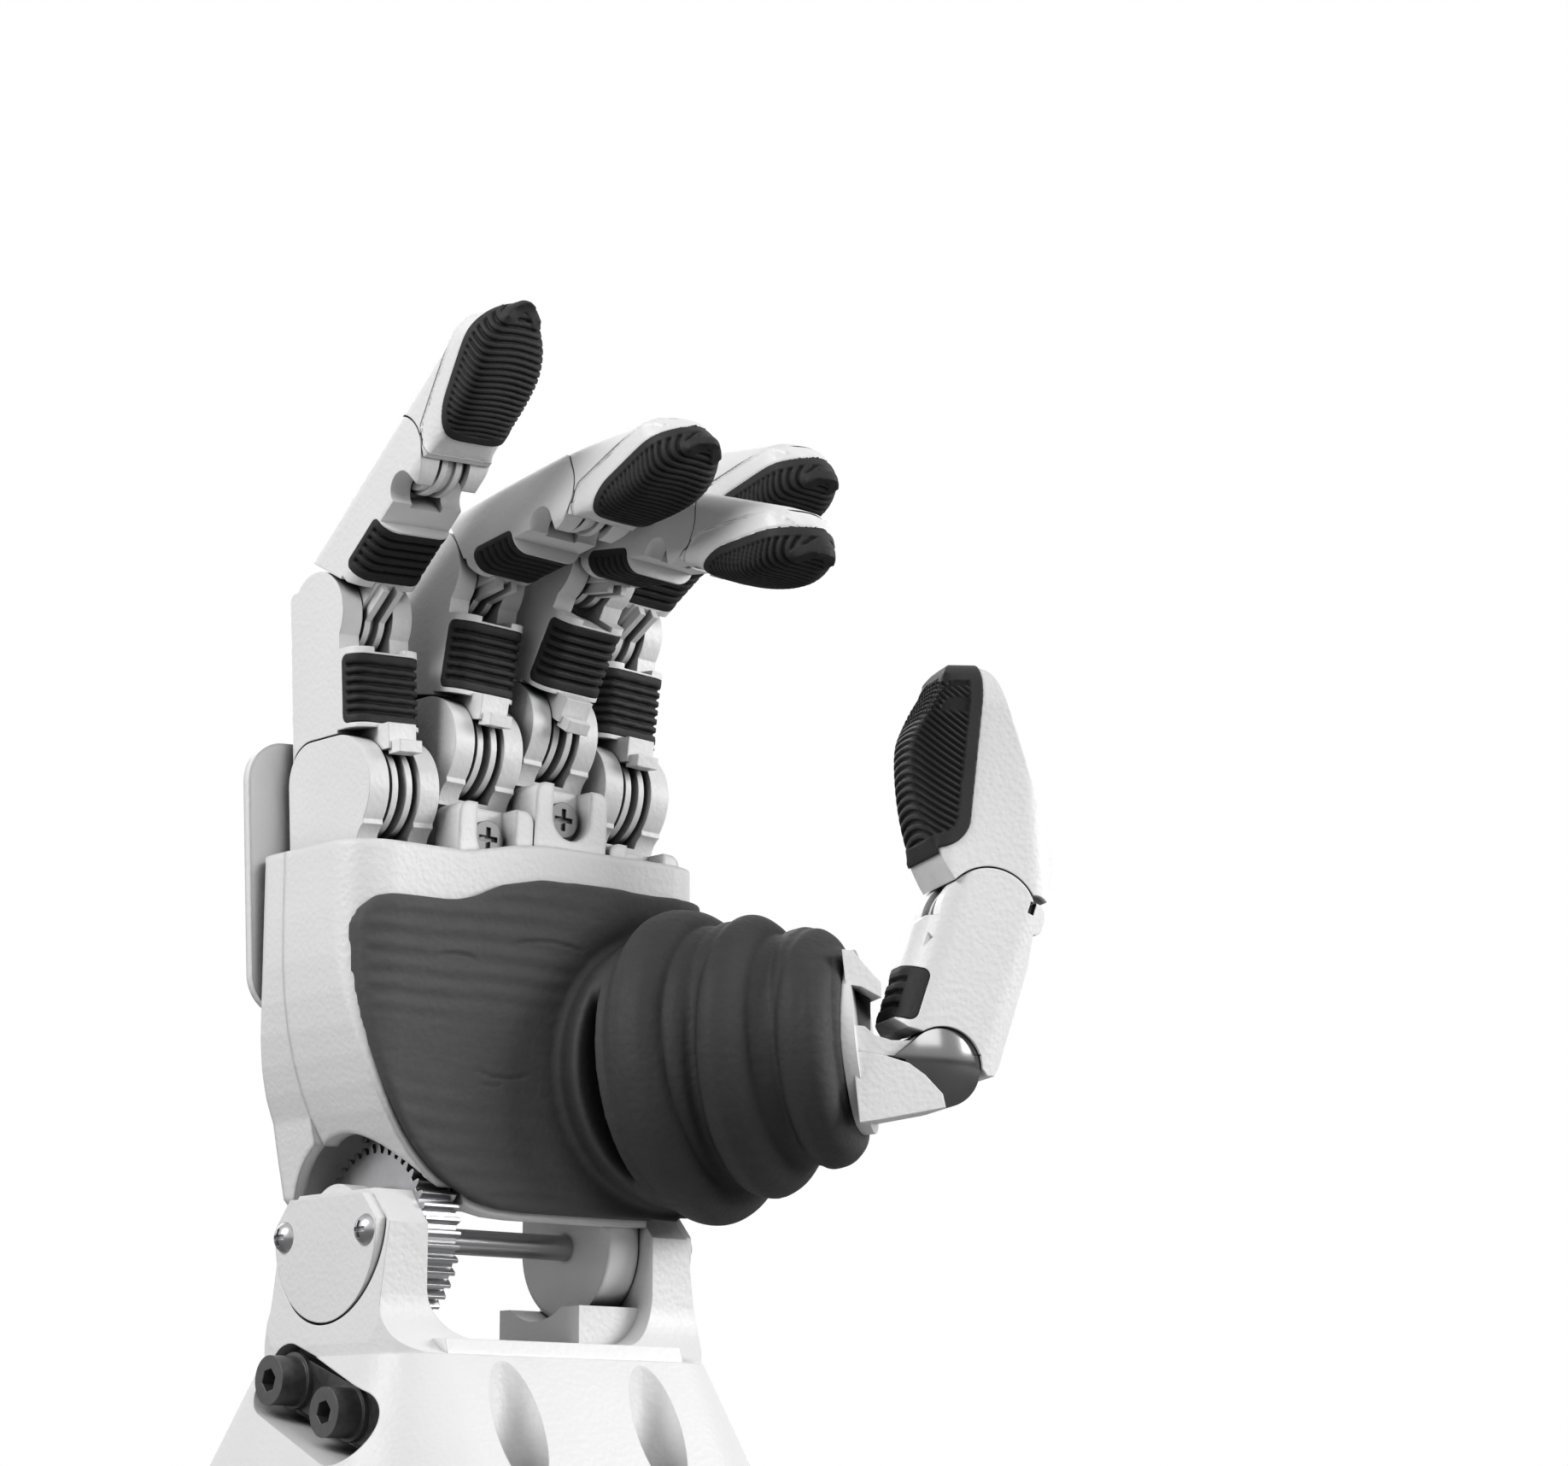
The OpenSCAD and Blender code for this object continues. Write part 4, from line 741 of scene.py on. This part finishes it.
# %% Height of the folds
def lobe_height(along, away):
    """How far each point stands out from the mean of its neighbours along the bellows."""
    window = 13
    bands = np.arange(-14.0, 46.0, 1.0)
    spot = np.clip((along - bands[0]).astype(int), 0, len(bands) - 1)
    total = np.bincount(spot, weights=np.clip(away, 0, 40), minlength=len(bands))
    count = np.maximum(np.bincount(spot, minlength=len(bands)), 1)
    radius = total / count
    padded = np.pad(radius, window // 2, mode="edge")
    mean = np.convolve(padded, np.ones(window) / window, mode="valid")
    return np.clip(np.interp(along, bands + 0.5, radius - mean), -4, 4)


def noise_at(points, scale, shift=(0, 0, 0)):
    """Smooth noise at each point. A scale of 0 along an axis keeps it the same along that axis."""
    places = points * np.array(scale) + np.array(shift)
    return np.array([noise.noise(Vector(place)) for place in places])


heights = lobe_height(along_yoke(points_of(rubber.data)), from_axis(points_of(rubber.data)))
print("folds stand out by up to", round(float(heights.max()), 1), "mm")

# %% [markdown]
# ## Creases in the palm
# The flat skin of the palm has faint waves across it and a few short creases, where it folds as the thumb
# closes. Both are a fraction of a millimetre deep. They are moved into the mesh and not painted, so they
# catch the light from the side as real creases do.

# %% Slack and creases
palm_low = Vector(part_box("palm_skin")[0]) / mm
WAVE_PITCH, WAVE_HEIGHT = 4.1, 0.13
CREASES = (
    {"centre": (21.0, 47.6), "length": 9.0, "sag": 0.7, "width": 0.28, "depth": 0.5},
    {"centre": (43.0, 51.5), "length": 17.0, "sag": 1.2, "width": 0.3, "depth": 0.55},
    {"centre": (32.0, 26.5), "length": 13.0, "sag": -1.1, "width": 0.28, "depth": 0.45},
    {"centre": (29.0, 24.0), "length": 6.0, "sag": -0.3, "width": 0.25, "depth": 0.3},
)


def crease(points, centre, length, sag, width, depth):
    """A short curved crease in the skin's front, in millimetres from its left edge and its bottom."""
    across = points[:, 0] / mm - palm_low.x - centre[0]
    up = points[:, 2] / mm - palm_low.z - centre[1]
    along = across / (length / 2)
    off = up - sag * (1 - along ** 2)
    taper = np.sqrt(np.clip(1 - along ** 2, 0, 1))
    return depth * taper * np.exp(-(off / width) ** 2)


def slacken(piece):
    """Lets the folds bulge a little unevenly and the flat skin crease, as stretched rubber does."""
    points, normals = points_of(piece.data), normals_of(piece.data)
    along, away = along_yoke(points), from_axis(points)
    loose = smooth_step(-12, 4, along) * smooth_step(12, 20, away)
    bulge = 0.5 * noise_at(points, (40, 40, 40))
    flat = smooth_step(-0.2, -0.6, normals[:, 1]) * (1 - smooth_step(-20, -9, along))
    flat = flat * smooth_step(1.0, 3.0, from_rim(points, normals))
    drift = 0.55 * noise_at(points, (28, 0, 28), (0, 7, 0))
    shown = smooth_step(-0.35, 0.3, noise_at(points, (22, 0, 60), (0, 3, 0)))
    waves = np.sin(2 * math.pi * (points[:, 2] / mm / WAVE_PITCH + drift)) * shown
    creases = sum(crease(points, **line) for line in CREASES)
    swell = (0.45 + bulge + 0.5 * lobe_height(along, away)) * loose
    move_points(piece.data, points + normals * (swell * mm)[:, None])
    round_over(piece, rounds=16)
    points, normals = points_of(piece.data), normals_of(piece.data)
    relief = (WAVE_HEIGHT * waves - creases) * flat
    move_points(piece.data, points + normals * (relief * mm)[:, None])
    # The skin's colour reads this share and paints the folds darker, as painted shade.
    remember(piece, "folded", loose)


slacken(rubber)
print("creases in the palm:", len(CREASES))

# %% [markdown]
# ## Cutting at the thumb's root
# The thumb swings on one axis and lifts on another. The moulding is cut in two valleys, where a cut is
# hidden. The skin rides on the palm, and the inner and the outer folds take the skin rubber and stay where
# they lie.

# %% Cutting the moulding
FIRST_CUT, SECOND_CUT = 3.2, 16.0  # millimetres along the yoke
FAR = 1e3
BANDS = {"palm_skin": (-FAR, FIRST_CUT), "inner_folds": (FIRST_CUT, SECOND_CUT),
         "outer_folds": (SECOND_CUT, FAR)}
BENDS = (("inner_folds", 3.8, 15.4, "palm", "thumb_yoke"),
         ("outer_folds", 16.6, 30.0, "thumb_yoke", "thumb_metacarpal"))

along = along_yoke(centres_of(rubber.data))
parts = {name: part_of(rubber, name, (along >= low) & (along < high))
         for name, (low, high) in BANDS.items()}
bpy.data.objects.remove(rubber)
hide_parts("palm_skin")
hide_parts("thumb_bellows")
finish_piece(parts["palm_skin"], "skin_rubber", "palm")
for name, low, high, inner, outer in BENDS:
    fold = parts[name]
    fold.data.materials.append(finishes["skin_rubber"])
    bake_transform(fold)
print("moulding cut into", ", ".join(parts))

# %% [markdown]
# ## Camera
# The hand is seen from the little finger's side and from low down, so it looks tall. A long lens from far
# away keeps the near fingers from looking larger than the far ones.

# %% The camera
def add_camera(place, look, lens):
    camera = bpy.data.objects.new("camera", bpy.data.cameras.new("camera"))
    bpy.context.scene.collection.objects.link(camera)
    camera.location = place
    camera.rotation_mode = "QUATERNION"
    camera.rotation_quaternion = Vector(look).to_track_quat("-Z", "Y")
    camera.data.sensor_width = 36
    camera.data.lens = lens
    bpy.context.scene.camera = camera


add_camera(place=(-0.4406, -0.5948, 0.0029), look=(0.642, 0.738, 0.208), lens=86.3)
print("camera at", tuple(round(v, 3) for v in bpy.context.scene.camera.location))

# %% [markdown]
# ## Lamps
# White plastic shows its form only by soft gradients, so the lamps are four large squares around the hand.
# The right and the left lamp do most of the work, the front one opens the shadows between the fingers, and
# the back one draws the edges. They stay weak enough that the white shells keep their shading.

# %% Soft lamps
def add_lamp(name, place, size, power):
    target = (Vector(cad_box[0]) + Vector(cad_box[1])) / 2
    lamp = bpy.data.objects.new(name, bpy.data.lights.new(name, "AREA"))
    bpy.context.scene.collection.objects.link(lamp)
    lamp.location = place
    lamp.rotation_mode = "QUATERNION"
    lamp.rotation_quaternion = (target - Vector(place)).to_track_quat("-Z", "Y")
    lamp.data.size = size
    lamp.data.energy = power
    print(name, power, "W")


add_lamp("right lamp", (0.72, -0.72, 0.42), 0.5, 8.2)
add_lamp("front lamp", (-0.05, -0.98, 0.50), 0.5, 2.3)
add_lamp("left lamp", (-0.75, 0.0, 0.62), 0.4, 6.2)
add_lamp("back lamp", (0.35, 0.80, 0.55), 0.5, 2.5)

# %% [markdown]
# ## White surround
# The background is pure white, but a white world would wash the hand out. So the world gives little light,
# and only the rays that come from the camera, from a mirror or through glass see it as white.

# %% The world
def background(tree, strength, node=None):
    node = node or tree.nodes.new("ShaderNodeBackground")
    node.inputs["Color"].default_value = (1, 1, 1, 1)
    node.inputs["Strength"].default_value = strength
    return node.outputs[0]


def white_surround(light=0.08, seen=1.0):
    world = bpy.data.worlds.new("white surround")
    bpy.context.scene.world = world
    world.use_nodes = True
    tree = world.node_tree
    plain = background(tree, light, tree.nodes["Background"])
    white = background(tree, seen)
    path = tree.nodes.new("ShaderNodeLightPath")
    mix = tree.nodes.new("ShaderNodeMixShader")
    mask = path.outputs["Is Camera Ray"]
    for ray in ("Is Glossy Ray", "Is Transmission Ray"):
        either = tree.nodes.new("ShaderNodeMath")
        either.operation = "MAXIMUM"
        tree.links.new(mask, either.inputs[0])
        tree.links.new(path.outputs[ray], either.inputs[1])
        mask = either.outputs[0]
    for index, socket in enumerate((mask, plain, white)):
        tree.links.new(socket, mix.inputs[index])
    tree.links.new(mix.outputs[0], tree.nodes["World Output"].inputs["Surface"])


white_surround()
bpy.context.scene.view_settings.view_transform = "Standard"
print("the surround is white to the camera")

# %% [markdown]
# ## Floor
# The floor is there for the shadow that grounds the base. A small floor would show its edge and a grey one
# its colour, so it is wide and pale near the hand, and fades into the white surround. Only the camera sees
# it pale: to every other ray it is a dull grey, which keeps the undersides of the fingers from glowing.

# %% The floor
FLOOR_HALF = 3.0
FLOOR_DROP = 0.2 * mm  # just under the base, so that the two faces never flicker
FADE = (0.3, 0.8)  # metres from the hand


def floor_finish():
    finish = Finish("pale floor", grey(0.88), 0.8)
    matte = finish.add("ShaderNodeBsdfDiffuse", {}, {"Color": (*grey(0.3), 1.0)})
    white = finish.add("ShaderNodeEmission", {}, {"Color": (*grey(1.0), 1.0), "Strength": 1.0})
    reach = finish.add("ShaderNodeVectorMath", {"operation": "LENGTH"}, {
        0: finish.place()}, output="Value")
    far = finish.add("ShaderNodeMapRange", {"interpolation_type": "SMOOTHSTEP"}, {
        "Value": reach, "From Min": FADE[0], "From Max": FADE[1]})
    pale = Value(finish, finish.shader.outputs[0])
    shown = finish.add("ShaderNodeMixShader", {}, {0: far, 1: pale, 2: white})
    seen = finish.add("ShaderNodeLightPath", {}, {}, output="Is Camera Ray")
    either = finish.add("ShaderNodeMixShader", {}, {0: seen, 1: matte, 2: shown})
    finish.tree.links.new(either.socket, finish.tree.nodes["Material Output"].inputs["Surface"])
    return finish.material


def add_floor():
    mesh = bpy.data.meshes.new("floor")
    corners = [(x * FLOOR_HALF, y * FLOOR_HALF, 0) for x, y in ((-1, -1), (1, -1), (1, 1), (-1, 1))]
    mesh.from_pydata(corners, [], [(0, 1, 2, 3)])
    mesh.materials.append(floor_finish())
    floor = bpy.data.objects.new("floor", mesh)
    bpy.context.scene.collection.objects.link(floor)
    floor.location = (0, 0, cad_box[0][2] - FLOOR_DROP)


add_floor()
print("floor laid at", round((cad_box[0][2] - FLOOR_DROP) / mm, 1), "mm")

# %% [markdown]
# ## The end

# %% The end
print("the scene is built")
